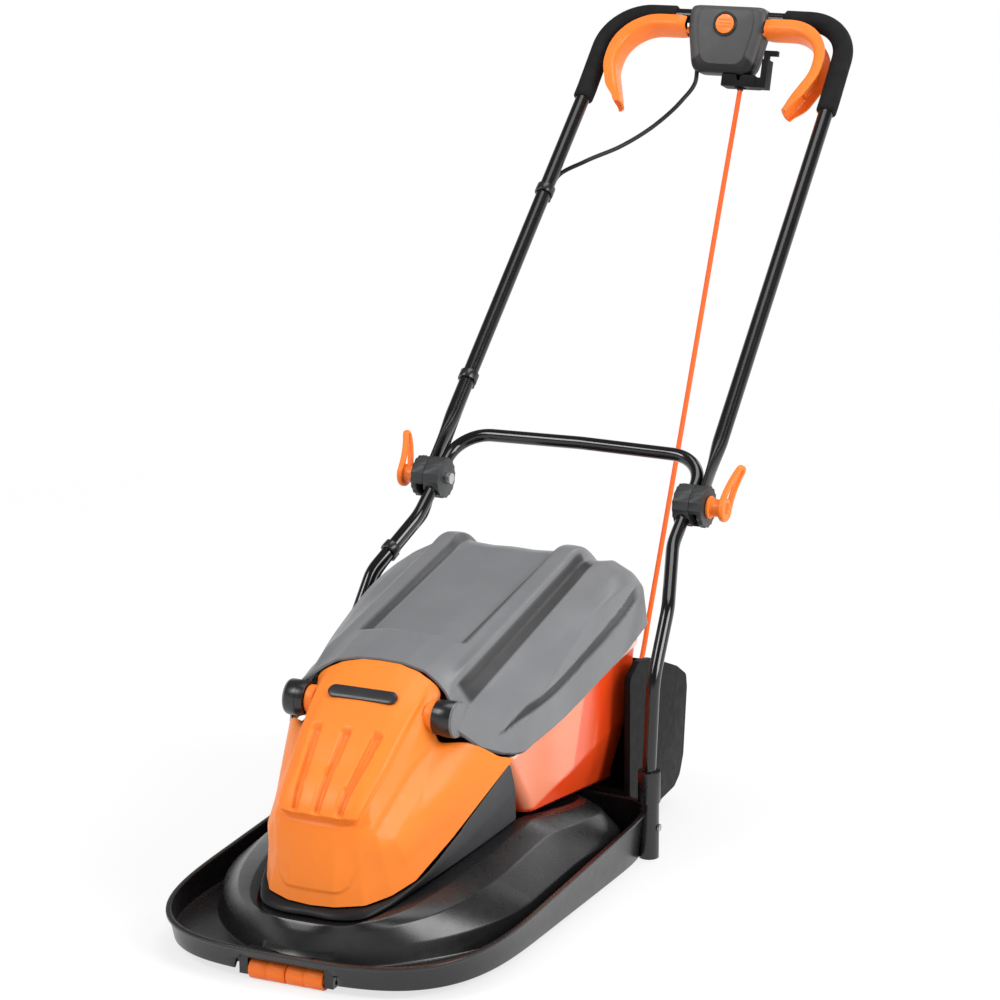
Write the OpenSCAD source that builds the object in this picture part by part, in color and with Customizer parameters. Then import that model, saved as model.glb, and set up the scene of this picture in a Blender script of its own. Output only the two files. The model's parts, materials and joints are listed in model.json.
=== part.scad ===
// Electric hover mower with a lift-out grass box, folding handle and mains lead.
// Millimetres, +Z up, the nose points along -Y, the origin is on the ground in the middle.

/* [Deck] */
// Half width of the deck at its rim
deck_half_w = 216; // [212:1:220]
// Distance from the deck middle to the front of the rim
deck_front = 258; // [255:1:262]
// Distance from the deck middle to the rear of the rim
deck_rear = 330; // [328:1:331]
// Thickness of the deck wall
deck_wall = 3.5; // [3:0.5:4]
// Height of the rim at the nose
rim_front_z = 41; // [39:1:44]
// Height of the rim at the handle sockets
rim_rear_z = 61; // [58:1:64]
// How far the skirt is off the ground at the nose
nose_lift = 11; // [9:1:11]

/* [Cutting] */
// Radius of the circle that the blade cuts
blade_r = 165; // [150:1:168]
// Width of the blade bar
blade_w = 46; // [36:1:56]
// Height of the blade above the ground
blade_z = 30; // [28:1:32]
// Radius of the impeller
impeller_r = 95; // [80:1:98]
// Number of vanes on the impeller
vanes = 10; // [6:1:14]
// Radius of the motor can
motor_r = 49.5; // [49:0.5:51]

/* [Roller] */
// Radius of the front roller
roller_r = 12; // [11:0.5:12]
// Length of each half of the roller
roller_l = 46; // [44:1:47]

/* [Grass box] */
// Half width of the lid at its lower edge
lid_half_w = 160; // [158:1:162]
// Wall of the lid and of the cover
shell_wall = 3; // [2.5:0.5:3.5]
// Radius of the dark barrels on the lid hinge
barrel_r = 21; // [20:0.5:22]

/* [Handle] */
// Outside diameter of the upper handle tube
tube_d = 20; // [19:0.5:20]
// Outside diameter of the lower handle tube
low_tube_d = 17; // [16:0.5:17.5]
// Wall of the handle tubes
tube_wall = 1.2; // [1:0.1:1.5]
// Outside diameter of the foam grips
foam_d = 28; // [27:0.5:28]
// Radius of the ribbed clamps
clamp_r = 27; // [25:1:28]
// Lean of the switch box from upright
box_lean = 18; // [17:1:19]
// Diameter of the lock-off button
button_d = 27; // [25:1:28]

/* [Leads] */
// Diameter of the mains lead
lead_d = 7; // [6:0.5:7]
// Diameter of the lead from the switch box to the motor
motor_lead_d = 6; // [5:0.5:6]
// Turns in the coil of the mains lead
coil_turns = 22.5; // [18.5:2:22.5]

/* [Hidden] */
$fn = 48;

// Colours as seen
black = [0.06, 0.06, 0.06];
dark_grey = [0.2, 0.2, 0.21];
grey = [0.36, 0.37, 0.38];
orange = [0.95, 0.45, 0.08];
red_orange = [0.9, 0.25, 0.1];
steel = [0.7, 0.7, 0.72];
copper = [0.72, 0.42, 0.2];

// Vectors and paths
function unit(v) = v / norm(v);
function flip(pts) = [for (p = pts) [-p[0], p[1], p[2]]];
function backwards(pts) = [for (i = [len(pts) - 1:-1:0]) pts[i]];
function both_sides(half) = concat(half, backwards(flip([for (i = [0:len(half) - 2]) half[i]])));
function sgn_pow(v, e) = sign(v) * pow(abs(v), e);

// Arc of radius r that rounds the corner b of the line a, b, c
function bend(a, b, c, r, steps) =
  let (u = unit(a - b), v = unit(c - b), half = acos(u * v) / 2)
  let (mid = b + unit(u + v) * r / sin(half), p = b + u * r / tan(half) - mid)
  let (q = b + v * r / tan(half) - mid, turn = 180 - 2 * half, w = unit(q - p * (p * q) / (p * p)))
  [for (k = [0:steps]) mid + p * cos(turn * k / steps) + w * r * sin(turn * k / steps)];

// Line through the points with each inner corner rounded by its radius
function rounded(pts, radii, steps = 5) = concat(
  [pts[0]],
  [for (i = [1:len(pts) - 2]) each bend(pts[i - 1], pts[i], pts[i + 1], radii[i - 1], steps)],
  [pts[len(pts) - 1]]);

// Smooth line through hand-chosen points, cut points for each stretch; the slope leans to the nearer neighbour
function inner_slope(a, b) = (a / norm(a) * norm(b) + b / norm(b) * norm(a)) / (norm(a) + norm(b));
function slope(p, i) =
  i == 0 ? unit(p[1] - p[0])
  : i == len(p) - 1 ? unit(p[i] - p[i - 1])
  : inner_slope(p[i] - p[i - 1], p[i + 1] - p[i]);
function spline_at(a, b, u, v, t) =
  a * (2 * pow(t, 3) - 3 * t * t + 1) + b * (3 * t * t - 2 * pow(t, 3))
  + norm(b - a) * (u * (pow(t, 3) - 2 * t * t + t) + v * (pow(t, 3) - t * t));
function spline(p, cut) = concat(
  [for (i = [0:len(p) - 2], k = [0:cut - 1]) spline_at(p[i], p[i + 1], slope(p, i), slope(p, i + 1), k / cut)],
  [p[len(p) - 1]]);

// Directions along a path and a side direction carried along it without twist
function tangents(p) = [for (i = [0:len(p) - 1]) unit(p[min(i + 1, len(p) - 1)] - p[max(i - 1, 0)])];
function square_to(n, t) = unit(n - (n * t) * t);
function carried(t, n0) =
  [for (i = 0, n = square_to(n0, t[0]); i < len(t); i = i + 1, n = i < len(t) ? square_to(n, t[i]) : n) n];

// Rings of a round tube: ra and rb are lists of its half sizes along and across the side direction
function tube_rings(path, n0, sides, ra, rb) =
  let (t = tangents(path), n = carried(t, n0))
  [for (i = [0:len(path) - 1]) let (b = cross(t[i], n[i]))
    [for (k = [0:sides - 1]) let (a = 360 * k / sides) path[i] + n[i] * ra[i] * cos(a) + b * rb[i] * sin(a)]];
function same(v, n) = [for (i = [1:n]) v];

// Rings of flat profiles of [side, across] points, one for each point of a path
function profile_rings(path, n0, profiles) =
  let (t = tangents(path), n = carried(t, n0))
  [for (i = [0:len(path) - 1]) let (b = cross(t[i], n[i]))
    [for (q = profiles[i]) path[i] + n[i] * q[0] + b * q[1]]];

// Closed skin over stacked rings: a loop of rings, or a stack with flat ends
module skin(rings, loop = false) {
  m = len(rings);
  n = len(rings[0]);
  last = loop ? m - 1 : m - 2;
  walls = [for (k = [0:last], i = [0:n - 1]) each
    let (j = (i + 1) % n, up = ((k + 1) % m) * n, a = k * n + i, b = k * n + j, c = up + i, d = up + j)
    [[a, c, d], [a, d, b]]];
  ends = loop ? [] : [[for (i = [0:n - 1]) i], [for (i = [n - 1:-1:0]) (m - 1) * n + i]];
  polyhedron([for (r = rings) each r], concat(walls, ends), convexity = 8);
}

// Closed sheet between an upper and a lower grid of points, with its cells split alike on both sides
function split_cell(a, n, way) =
  way ? [[a, a + n, a + n + 1], [a, a + n + 1, a + 1]] : [[a, a + n, a + 1], [a + 1, a + n, a + n + 1]];
module sheet(top, low) {
  m = len(top);
  n = len(top[0]);
  s = m * n;
  cells = [for (k = [0:m - 2], i = [0:n - 2]) k * n + i];
  up = [for (a = cells) each split_cell(a, n, a % n < (n - 1) / 2)];
  down = [for (t = up) [s + t[0], s + t[2], s + t[1]]];
  rim = concat([for (i = [0:n - 2]) i], [for (k = [0:m - 2]) k * n + n - 1],
    [for (i = [n - 1:-1:1]) (m - 1) * n + i], [for (k = [m - 1:-1:1]) k * n]);
  sides = [for (j = [0:len(rim) - 1]) each
    let (a = rim[j], b = rim[(j + 1) % len(rim)]) [[a, b, s + b], [a, s + b, s + a]]];
  polyhedron([for (r = concat(top, low)) each r], concat(up, down, sides), convexity = 8);
}

// Cylinder between two points
module rod(p, q, r) {
  v = q - p;
  translate(p) rotate([0, acos(v[2] / norm(v)), atan2(v[1], v[0])]) cylinder(h = norm(v), r = r);
}

module hollow_tube(path, n0, sides, ra, rb, wall) {
  outer = tube_rings(path, n0, sides, ra, rb);
  inner = tube_rings(path, n0, sides, [for (v = ra) v - wall], [for (v = rb) v - wall]);
  skin(concat(outer, backwards(inner)), loop = true);
}

module pair() {
  children();
  mirror([1, 0, 0]) children();
}

// Deck: middle of all its outlines, height laws along Y
deck_y = -420;
socket_x = 213;
socket_y = -125;
motor_y = -455;
points_round = 56;
function skirt_z(y) = max(0, (socket_y - y) * nose_lift / 550);
function rim_z(y) = rim_front_z + (rim_rear_z - rim_front_z) * (y + 678) / 553;
function gutter_z(y) = skirt_z(y) + 10;
function ridge_z(y) = lookup(y, [[-640, 64], [-316, 104], [-120, 69]]);

// Closed outline round a middle: half width, reach to the front and rear, and their squareness
function outline(a, front, nf, rear, nr, taper = 0, mid = deck_y) =
  [for (i = [0:points_round - 1]) let (t = 360 * i / points_round, e = sin(t) < 0 ? 2 / nf : 2 / nr)
    let (y = (sin(t) < 0 ? front : rear) * sgn_pow(sin(t), e))
    [a * sgn_pow(cos(t), e) * (1 + taper * y), mid + y]];
function wall_line(inset) = outline(deck_half_w - inset, deck_front - inset, 3.4, deck_rear - inset, 12);
function dome_line(inset) = outline(199 - inset, 232 - inset, 1.75, 318 - inset, 8);
function ridge_line(inset) = outline(112 - inset, 210 - inset, 5, 300 - inset, 5, 0.00137);
function hole_line(r) = outline(r, r, 2, r, 2, 0, motor_y);
function mixed(a, b, k) = [for (i = [0:len(a) - 1]) k * a[i] + (1 - k) * b[i]];
function at_gutter(line, up) = [for (p = line) [p[0], p[1], gutter_z(p[1]) + up]];
function up_dome(line, share, up) =
  [for (p = line) [p[0], p[1], gutter_z(p[1]) + share * (ridge_z(p[1]) - gutter_z(p[1])) + up]];

module hood() {
  rings = [
    [for (p = wall_line(8)) [p[0], p[1], skirt_z(p[1])]],
    [for (p = wall_line(3)) [p[0], p[1], rim_z(p[1]) - 5]],
    [for (p = wall_line(0)) [p[0], p[1], rim_z(p[1]) - 4.5]],
    [for (p = wall_line(0)) [p[0], p[1], rim_z(p[1]) - 0.5]],
    [for (p = wall_line(1)) [p[0], p[1], rim_z(p[1])]],
    [for (p = wall_line(5.5)) [p[0], p[1], rim_z(p[1])]],
    at_gutter(wall_line(5.5 + deck_wall), 0),
    at_gutter(dome_line(0), 0),
    up_dome(dome_line(6), 0.4, 0),
    up_dome(mixed(dome_line(10), ridge_line(0), 0.62), 0.8, 0),
    up_dome(mixed(dome_line(14), ridge_line(0), 0.25), 0.96, 0),
    up_dome(ridge_line(0), 1, 0),
    up_dome(ridge_line(6), 1, -5),
    [for (p = hole_line(60)) [p[0], p[1], 80]],
    [for (p = hole_line(60)) [p[0], p[1], 76]],
    up_dome(ridge_line(8), 1, -5 - deck_wall),
    up_dome(mixed(dome_line(18), ridge_line(4), 0.25), 0.96, -deck_wall),
    up_dome(mixed(dome_line(14), ridge_line(4), 0.62), 0.8, -deck_wall),
    up_dome(dome_line(6 + deck_wall), 0.4, -deck_wall),
    at_gutter(dome_line(deck_wall), -deck_wall),
    at_gutter(wall_line(9 + deck_wall), -deck_wall),
    [for (p = wall_line(8 + deck_wall)) [p[0], p[1], skirt_z(p[1])]]
  ];
  color(black) difference() {
    skin(rings, loop = true);
    // Notch for the roller and its bracket
    translate([-60.5, -700, -1]) cube([121, 59.5, 31.5]);
    // Way out to the grass chute
    translate([-120, -170, 12]) cube([240, 110, 26]);
    // Room for the handle sockets
    pair() translate([socket_x, socket_y, -1]) cylinder(h = 130, r = 14.3);
  }
}

// Socket that holds each leg of the lower handle, with a stop under the tube
socket_top = 112;
socket_bore = low_tube_d / 2 + 0.4;
module handle_sockets() {
  color(black) pair() difference() {
    union() {
      translate([socket_x, socket_y, 0]) cylinder(h = 73, r = 12.4);
      translate([socket_x, socket_y, 72]) cylinder(h = socket_top - 72, r = 14);
    }
    translate([socket_x, socket_y, 15]) cylinder(h = socket_top, r = socket_bore);
    translate([socket_x, socket_y, 40]) rotate([0, 90, 0]) cylinder(h = 20, r = 2.6);
  }
}

module socket_screws() {
  color(steel) pair() translate([0, socket_y, 40]) rotate([0, 90, 0]) difference() {
    union() {
      translate([0, 0, socket_x + 9.2]) cylinder(h = 4, r = 2.5);
      translate([0, 0, socket_x + 12.6]) cylinder(h = 2.6, r = 4.5);
    }
    translate([-3, -0.5, socket_x + 14]) cube([6, 1, 4]);
  }
}

// Dark lower body round the motor: bottom on the deck, top under the cover, rear wall against the grass box
body_bottom = [
  [0, -616], [40, -615], [66, -603], [80, -580], [92, -530], [106, -460], [118, -390], [127, -328]];
body_top = [
  [0, -607.5, 74.4], [34, -604, 75.4], [62, -591.5, 77.2], [82, -563.5, 82], [97, -530.5, 91],
  [114, -465.5, 123.6], [134, -414, 165], [146, -382, 192]];
function loop_of(half) = backwards(concat(backwards(half), flip([for (i = [1:len(half) - 1]) half[i]])));
function drawn_in(half, by) = [for (p = half) p + [p[0] > 1 ? -by : 0, p[1] < -450 ? by : -by, 0]];
module body_shell() {
  low = [for (p = body_bottom) [p[0], p[1], ridge_z(p[1]) + (p[0] > 75 || p[1] > -400 ? 0.4 : -1.6)]];
  rings = [
    loop_of(low), loop_of(body_top), loop_of(drawn_in(body_top, shell_wall)),
    loop_of(drawn_in(low, shell_wall))];
  color(dark_grey) skin(rings, loop = true);
}

// Wall between the motor and the grass box, above the body
bulkhead_edge = [
  [132, 197], [104, 226], [80, 268], [58, 284], [-58, 284], [-80, 268], [-104, 226], [-132, 197]];
module bulkhead() {
  color(dark_grey) translate([0, -392, 0]) rotate([90, 0, 0]) linear_extrude(3) polygon(bulkhead_edge);
}

// Front cover: rows of points from the lid seam down to the lower edge, right half of each row
cover_rows = [
  [[0, -424, 313], [25, -424, 312], [50, -425, 306], [68, -427, 297],
    [74, -428, 293], [78, -429, 289], [80, -430, 285]],
  [[0, -452, 295], [25, -452, 294], [48, -453, 290], [66, -454, 282],
    [75, -452, 270], [80, -449, 256], [83, -447, 234]],
  [[0, -540, 226], [24, -540, 225], [44, -540, 222], [58, -536, 215],
    [72, -525, 198], [90, -490, 196], [116, -428, 224]],
  [[0, -580, 184], [24, -580, 183], [44, -578, 180], [60, -570, 174],
    [76, -557, 158], [96, -508, 166], [134, -406, 211]],
  [[0, -588, 164], [24, -587, 163], [48, -583, 161], [68, -572, 156],
    [82, -554, 148], [101, -500, 158], [139, -398, 207]],
  [[0, -602, 110], [28, -600, 110], [56, -588, 110], [77, -566, 110],
    [91, -538, 112], [110, -476, 136], [145, -388, 203]],
  [[0, -608, 76], [30, -606, 77], [62, -592, 79], [82, -564, 84],
    [97, -531, 93], [114, -466, 126], [150, -378, 199]]];
hinge_y = -445;
hinge_z = 261.5;
stub_r = 12;
function inward(p) = p + shell_wall * unit([p[0] * 0.3, -440, 130] - p);
module front_cover() {
  outer = [for (r = cover_rows) both_sides(backwards(r))];
  inner = [for (r = outer) [for (p = r) inward(p)]];
  color(orange) sheet(outer, inner);
}

// Necks at the sides of the cover, with the stubs that carry the lid
module hinge_stubs() {
  color(orange) pair() translate([0, hinge_y, hinge_z]) rotate([0, 90, 0]) union() {
    translate([0, 0, 72]) cylinder(h = 11.4, r = 17.5);
    translate([0, 0, 80]) cylinder(h = 20, r = stub_r);
  }
}

// Plain pill-shaped plate on the cover
module cover_badge() {
  color(dark_grey) translate([0, -469.5, 284]) rotate([38, 0, 0]) hull() {
    translate([-36, 0, 0]) cylinder(h = 1.6, r = 8.5, $fn = 32);
    translate([36, 0, 0]) cylinder(h = 1.6, r = 8.5, $fn = 32);
  }
}

// Rear chute that lifts the clippings: outline of its side in Y and Z
chute_half_w = 172;
chute_round = 12;
chute_side = [
  [-89, 8], [-89, 214], [-60, 229], [-20, 222], [62, 188], [94, 168], [97, 150], [86, 62], [74, 38], [56, 27],
  [14, 24], [-24, 8]];
module chute_slab(inset) {
  translate([-chute_half_w + inset, 0, 0]) rotate([90, 0, 90]) linear_extrude(2 * (chute_half_w - inset))
    offset(r = chute_round - inset) offset(delta = -chute_round) polygon(chute_side);
}
module grass_chute() {
  color(black) difference() {
    chute_slab(0);
    chute_slab(3.5);
    // Open front above a lip, where the grass box stands, and a mouth behind the way out of the hood
    translate([-164, -120, 66.5]) cube([328, 138, 200]);
    translate([-164, -84, 50]) cube([328, 102, 220]);
    translate([-120, -100, 12]) cube([240, 20, 28]);
  }
}

// Lower handle: right leg from its socket to the middle of the cross bar
fold_y = 86;
fold_z = 395;
tube_r = tube_d / 2;
low_r = low_tube_d / 2;
lower_leg = [
  [socket_x, socket_y, 16], [socket_x, socket_y, 118], [211, -108, 224], [206, -50, 299], [178.5, 31, 357],
  [175, 150, 441], [0, 150, 444]];
lower_bends = [150, 70, 60, 90, 48];
lower_path = both_sides(rounded(lower_leg, lower_bends, 4));
bolt_r = 4;
bolt_bore = 4.06;
module fold_bore(x, l) {
  translate([x, fold_y, fold_z]) rotate([0, 90, 0]) cylinder(h = l, r = bolt_bore);
}
module lower_handle() {
  n = len(lower_path);
  color(black) difference() {
    hollow_tube(lower_path, [1, 0, 0], 12, same(low_r, n), same(low_r, n), tube_wall);
    pair() fold_bore(160, 40);
    pair() translate([socket_x + 4, socket_y, 40]) rotate([0, 90, 0]) cylinder(h = 10, r = 2.7);
  }
}

// Ribbed clamp round each leg, pierced by the clamp bolt
clamp_x = 165;
clamp_w = 21.6;
ribs = 16;
rib_depth = 1.6;
function ribbed(r, depth, n) =
  [for (i = [0:2 * n - 1]) (r - (i % 2) * depth) * [cos(180 * i / n), sin(180 * i / n)]];
module clamp_block() {
  color(dark_grey) difference() {
    translate([clamp_x, fold_y, fold_z]) rotate([0, 90, 0]) linear_extrude(clamp_w)
      polygon(ribbed(clamp_r, rib_depth, ribs));
    rod(clamp_foot - 40 * leg_way, clamp_foot + 160 * leg_way, low_r + 0.4);
    fold_bore(clamp_x - 1, clamp_w + 2);
  }
}
clamp_foot = [178.5, 31, 357];
leg_way = unit([-3.5, 119, 84]);
module clamp_right() {
  clamp_block();
}
module clamp_left() {
  mirror([1, 0, 0]) clamp_block();
}

// Motor, standing on the deck
module around_motor() {
  translate([0, motor_y, 0]) children();
}
module vents(z, h) {
  for (a = [45:90:315]) rotate([0, 0, a]) translate([motor_r - 8, -7, z]) cube([12, 14, h]);
}
bearing_r = 11;
bolt_circle = 62.5;
module motor_can_lower() {
  color(dark_grey) around_motor() difference() {
    union() {
      translate([0, 0, 82.5]) cylinder(h = 4, r = 68);
      translate([0, 0, 82.5]) cylinder(h = 46, r = motor_r);
    }
    translate([0, 0, 90]) cylinder(h = 40, r = motor_r - 3);
    translate([0, 0, 80]) cylinder(h = 20, r = bearing_r + 0.05);
    vents(93, 30);
    for (a = [0:90:270]) rotate([0, 0, a]) translate([bolt_circle, 0, 80]) cylinder(h = 10, r = 2.6);
  }
}
module motor_can_upper() {
  color(dark_grey) around_motor() difference() {
    translate([0, 0, 128.8]) cylinder(h = 46, r = motor_r);
    translate([0, 0, 128]) cylinder(h = 38, r = motor_r - 3);
    translate([0, 0, 160]) cylinder(h = 20, r = bearing_r + 0.05);
    vents(134, 14);
    for (s = [-1, 1]) translate([s * 45 - 10, -8.2, 150]) cube([20, 16.4, 14.4]);
  }
}
module stator_core() {
  color(steel) around_motor() difference() {
    translate([0, 0, 99]) cylinder(h = 42, r = motor_r - 3.3);
    translate([0, 0, 98]) cylinder(h = 44, r = 28.4);
  }
}
module field_coils() {
  color(copper) around_motor() for (z = [95, 145]) translate([0, 0, z]) rotate_extrude()
    translate([36, 0]) circle(r = 3.8);
}
module motor_bearings() {
  color(steel) around_motor() for (z = [83, 167]) translate([0, 0, z]) difference() {
    cylinder(h = 7, r = bearing_r);
    translate([0, 0, -1]) cylinder(h = 9, r = 5.04);
  }
}
module brush_holders() {
  color(copper) around_motor() for (a = [0, 180]) rotate([0, 0, a])
    translate([11.6, -8, 150.2]) cube([35, 16, 14]);
}
module motor_bolts() {
  color(steel) around_motor() for (a = [0:90:270]) rotate([0, 0, a]) translate([bolt_circle, 0, 0]) union() {
    translate([0, 0, 72]) cylinder(h = 15, r = 2.5);
    translate([0, 0, 86.7]) cylinder(h = 4, r = 4.5);
  }
}

// Turning set: armature, fan, impeller and blade on one shaft
module motor_shaft() {
  color(steel) around_motor() translate([0, 0, 26]) cylinder(h = 170, r = 5);
}
module on_shaft(z, h, r) {
  translate([0, motor_y, z]) difference() {
    cylinder(h = h, r = r);
    translate([0, 0, -1]) cylinder(h = h + 2, r = 5.02);
  }
}
module armature() {
  color(copper) union() {
    on_shaft(100, 40, 27.6);
    on_shaft(93, 54, 22);
    // Commutator, where the brushes run
    on_shaft(146, 18, 11);
  }
}
module blades_round(n, from, to, z, h, w) {
  around_motor() for (i = [0:n - 1]) rotate([0, 0, 360 * i / n])
    translate([from, -w / 2, z]) cube([to - from, w, h]);
}
module cooling_fan() {
  color(black) union() {
    on_shaft(180, 3, 40);
    on_shaft(180, 12, 9);
    blades_round(9, 8, 39, 182, 9, 2);
  }
}
module impeller() {
  color(black) union() {
    on_shaft(54, 3, impeller_r);
    on_shaft(46, 20, 15);
    blades_round(vanes, 14, impeller_r - 2, 56, 8, 2.5);
  }
}
module blade_spacers() {
  color(orange) for (z = [34.2, 38.2, 42.2]) on_shaft(z, 3.6, 14);
}
module cutting_blade() {
  color(steel) difference() {
    intersection() {
      translate([-blade_r, motor_y - blade_w / 2, blade_z]) cube([2 * blade_r, blade_w, 3.6]);
      around_motor() translate([0, 0, blade_z - 1]) cylinder(h = 8, r = blade_r);
    }
    around_motor() translate([0, 0, blade_z - 1]) cylinder(h = 8, r = 5.02);
    // Ground edges and lifted tails
    for (s = [0, 180]) translate([0, motor_y, blade_z]) rotate([0, 0, s])
      translate([blade_r - 70, blade_w / 2 - 6, 0]) rotate([30, 0, 0]) cube([80, 20, 10]);
  }
}
module blade_bolt() {
  color(steel) union() {
    around_motor() translate([0, 0, 16]) cylinder(h = 7, r = 9.5, $fn = 6);
    around_motor() translate([0, 0, 22.8]) cylinder(h = 3, r = 16);
    on_shaft(25.6, 4.2, 9);
  }
}

// Front roller: bracket in the deck notch, fixed axle, two halves that turn
roller_y = -660;
module roller_bracket() {
  color(black) difference() {
    translate([-60, -668, 6]) cube([120, 27, 24]);
    translate([-49, -700, -1]) cube([98, 53.5, 27.5]);
    translate([-61, roller_y, roller_r]) rotate([0, 90, 0]) cylinder(h = 122, r = 3.1);
  }
}
module roller_axle() {
  color(steel) translate([-57, roller_y, roller_r]) rotate([0, 90, 0]) cylinder(h = 114, r = 3);
}
module roller_half() {
  color(orange) translate([1, roller_y, roller_r]) rotate([0, 90, 0]) difference() {
    union() {
      cylinder(h = roller_l, r = roller_r - 0.4);
      translate([0, 0, 1]) cylinder(h = roller_l / 2 - 1.6, r = roller_r);
      translate([0, 0, roller_l / 2 + 0.6]) cylinder(h = roller_l / 2 - 1.6, r = roller_r);
    }
    translate([0, 0, -1]) cylinder(h = roller_l + 2, r = 3.05);
    translate([0, 0, roller_l - 6]) difference() {
      cylinder(h = 7, r = roller_r - 3);
      translate([0, 0, -1]) cylinder(h = 9, r = 5.5);
    }
  }
}
module roller_right() {
  roller_half();
}
module roller_left() {
  mirror([1, 0, 0]) roller_half();
}

// Grass box: four-cornered loops with round corners, front edge, rear edge, heights along Y
function corner(x, y, r, from) = [for (a = [from:22.5:from + 90]) [x + r * cos(a), y + r * sin(a)]];
function box_loop(xf, yf, xr, yr, r, zf, zr) =
  let (front = concat(corner(-xf + r, yf + r, r, 180), corner(xf - r, yf + r, r, 270)))
  let (rear = concat(corner(xr - r, yr - r, r, 0), corner(-xr + r, yr - r, r, 90)))
  [for (p = concat(front, rear)) [p[0], p[1], zf + (zr - zf) * (p[1] - yf) / (yr - yf)]];
module grass_box() {
  rings = [
    box_loop(137, -308, 141, -34, 14, 104.6, 61),
    box_loop(142, -374, 149, -10, 16, 192, 236),
    box_loop(144, -377, 152, -7, 16, 192, 240),
    box_loop(144, -377, 152, -7, 16, 196, 246),
    box_loop(138, -370, 146, -13, 13, 196, 246),
    box_loop(134, -304, 138, -38, 12, 107.6, 64)];
  color(red_orange) difference() {
    skin(rings);
    // Mouth towards the chute
    translate([-105, -60, 110]) cube([210, 80, 80]);
  }
}

// Lid: height of its upper face at each lengthwise line, from the middle to the edge
lid_front = -422;
lid_rear = 6;
function lid_mid_z(y) = 317 + 0.15 * (y + 424);
function lid_ridge_z(y) = 301 + 0.198 * (y + 424);
function lid_side_z(y) = 266 + 0.225 * (y + 430);
function lid_shoulder_z(y) =
  lookup(y, [[-400, 214], [-370, 224], [-322, 248], [-240, 286], [-168, 312], [-116, 322], [-60, 326]]);
function lid_edge_z(y) = lookup(y, [[-380, 201], [-221, 220], [-74, 243], [0, 262]]);
lid_front_row = [
  [0, -422, 318], [30, -422, 316], [58, -423, 310], [74, -425, 301], [87, -427, 291], [97, -429, 277],
  [107, -434, 252], [127, -414, 223], [142, -392, 210], [148, -374, 205]];
function lid_outer_y(y) = lookup(y, [[-392, -362], [-342, -332], [-280, -280], [20, 20]]);
function lid_narrow(y) = lookup(y, [[-392, 0.955], [-342, 0.975], [-280, 1]]);
function lid_row(y, drop) = let (o = lid_outer_y(y), k = lid_narrow(y)) [
  [0, y, lid_mid_z(y) - drop], [30, y, lid_mid_z(y) - 1 - drop],
  [60, y, 0.5 * (lid_mid_z(y) + lid_ridge_z(y)) - drop], [80, y, lid_ridge_z(y) - drop],
  [92, y, lid_ridge_z(y) - 1 - drop], [100, y, lid_ridge_z(y) - 18 - 0.8 * drop],
  [116, y, lid_side_z(y) - 0.45 * drop],
  [140 * k, (y + o) / 2, 0.45 * lid_side_z(y) + 0.55 * lid_shoulder_z(y) - 0.3 * drop],
  [153 * k, o, lid_shoulder_z(y) - 0.28 * drop], [lid_half_w * k, o, lid_edge_z(o)]];
lid_rear_row = [for (p = lid_row(0, 0)) [p[0] * 0.97, lid_rear, 264]];
lid_stations = [
  [-392, 0], [-342, 0], [-280, 0], [-220, 0], [-160, 0], [-110, 0], [-76, 0], [-52, 8], [-30, 24], [-10, 46],
  [2, 78]];
function lid_under(p) =
  [p[0] * (1 - shell_wall / lid_half_w), min(p[1], lid_rear - shell_wall), p[2] - shell_wall];
module lid() {
  rows = concat([lid_front_row], [for (s = lid_stations) lid_row(s[0], s[1])], [lid_rear_row]);
  top = [for (r = rows) both_sides(backwards(r))];
  last = len(top) - 1;
  low = [for (i = [0:last]) [for (p = top[i]) i < last ? lid_under(p) : p - [p[0] * 0.02, shell_wall, 0]]];
  color(grey) sheet([for (r = top) backwards(r)], [for (r = low) backwards(r)]);
}

// Barrels of the lid: hooks that sit over the stubs and lift off upwards
module lid_barrels() {
  color(black) pair() translate([0, hinge_y, hinge_z]) difference() {
    translate([84, 0, 0]) rotate([0, 90, 0]) cylinder(h = 26, r = barrel_r);
    translate([83, 0, 0]) rotate([0, 90, 0]) cylinder(h = 18, r = stub_r + 0.06);
    translate([83, -stub_r - 0.06, -40]) cube([18, 2 * stub_r + 0.12, 40]);
  }
}

// Upper handle: right leg from its flat end at the clamp to the middle of the grip bar
bar_y = 668;
bar_z = 938.5;
upper_leg = [[192.5, 72.7, 382.9], [180, 575, 841.8], [178, bar_y, bar_z - 1], [0, bar_y, bar_z]];
upper_way = unit(upper_leg[1] - upper_leg[0]);
flat_cuts = [0, 24, 60, 94, 120];
upper_half = concat(
  [for (d = flat_cuts) upper_leg[0] + upper_way * d],
  [for (i = [1:2]) each bend(upper_leg[i - 1], upper_leg[i], upper_leg[i + 1], i == 1 ? 100 : 62, 6)],
  [upper_leg[3]]);
upper_path = both_sides(upper_half);
function flattened(i, near, far) =
  let (k = min(i, len(upper_path) - 1 - i)) k < 3 ? near : (k == 3 ? (near + far) / 2 : far);
module upper_handle() {
  n = len(upper_path);
  ra = [for (i = [0:n - 1]) flattened(i, 4.5, tube_r)];
  rb = [for (i = [0:n - 1]) flattened(i, 13, tube_r)];
  color(black) difference() {
    hollow_tube(upper_path, [1, 0, 0], 12, ra, rb, tube_wall);
    pair() fold_bore(185, 20);
  }
}

// Foam grips round the bends
grip_leg = concat(
  [upper_leg[1] - upper_way * 19], bend(upper_leg[0], upper_leg[1], upper_leg[2], 100, 6),
  bend(upper_leg[1], upper_leg[2], upper_leg[3], 62, 6), [[80, bar_y, bar_z - 0.5]]);
module grip_right() {
  half = same(foam_d / 2, len(grip_leg));
  color(black) hollow_tube(grip_leg, [1, 0, 0], 12, half, half, foam_d / 2 - tube_r - 0.6);
}
module grip_left() {
  mirror([1, 0, 0]) grip_right();
}

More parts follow.
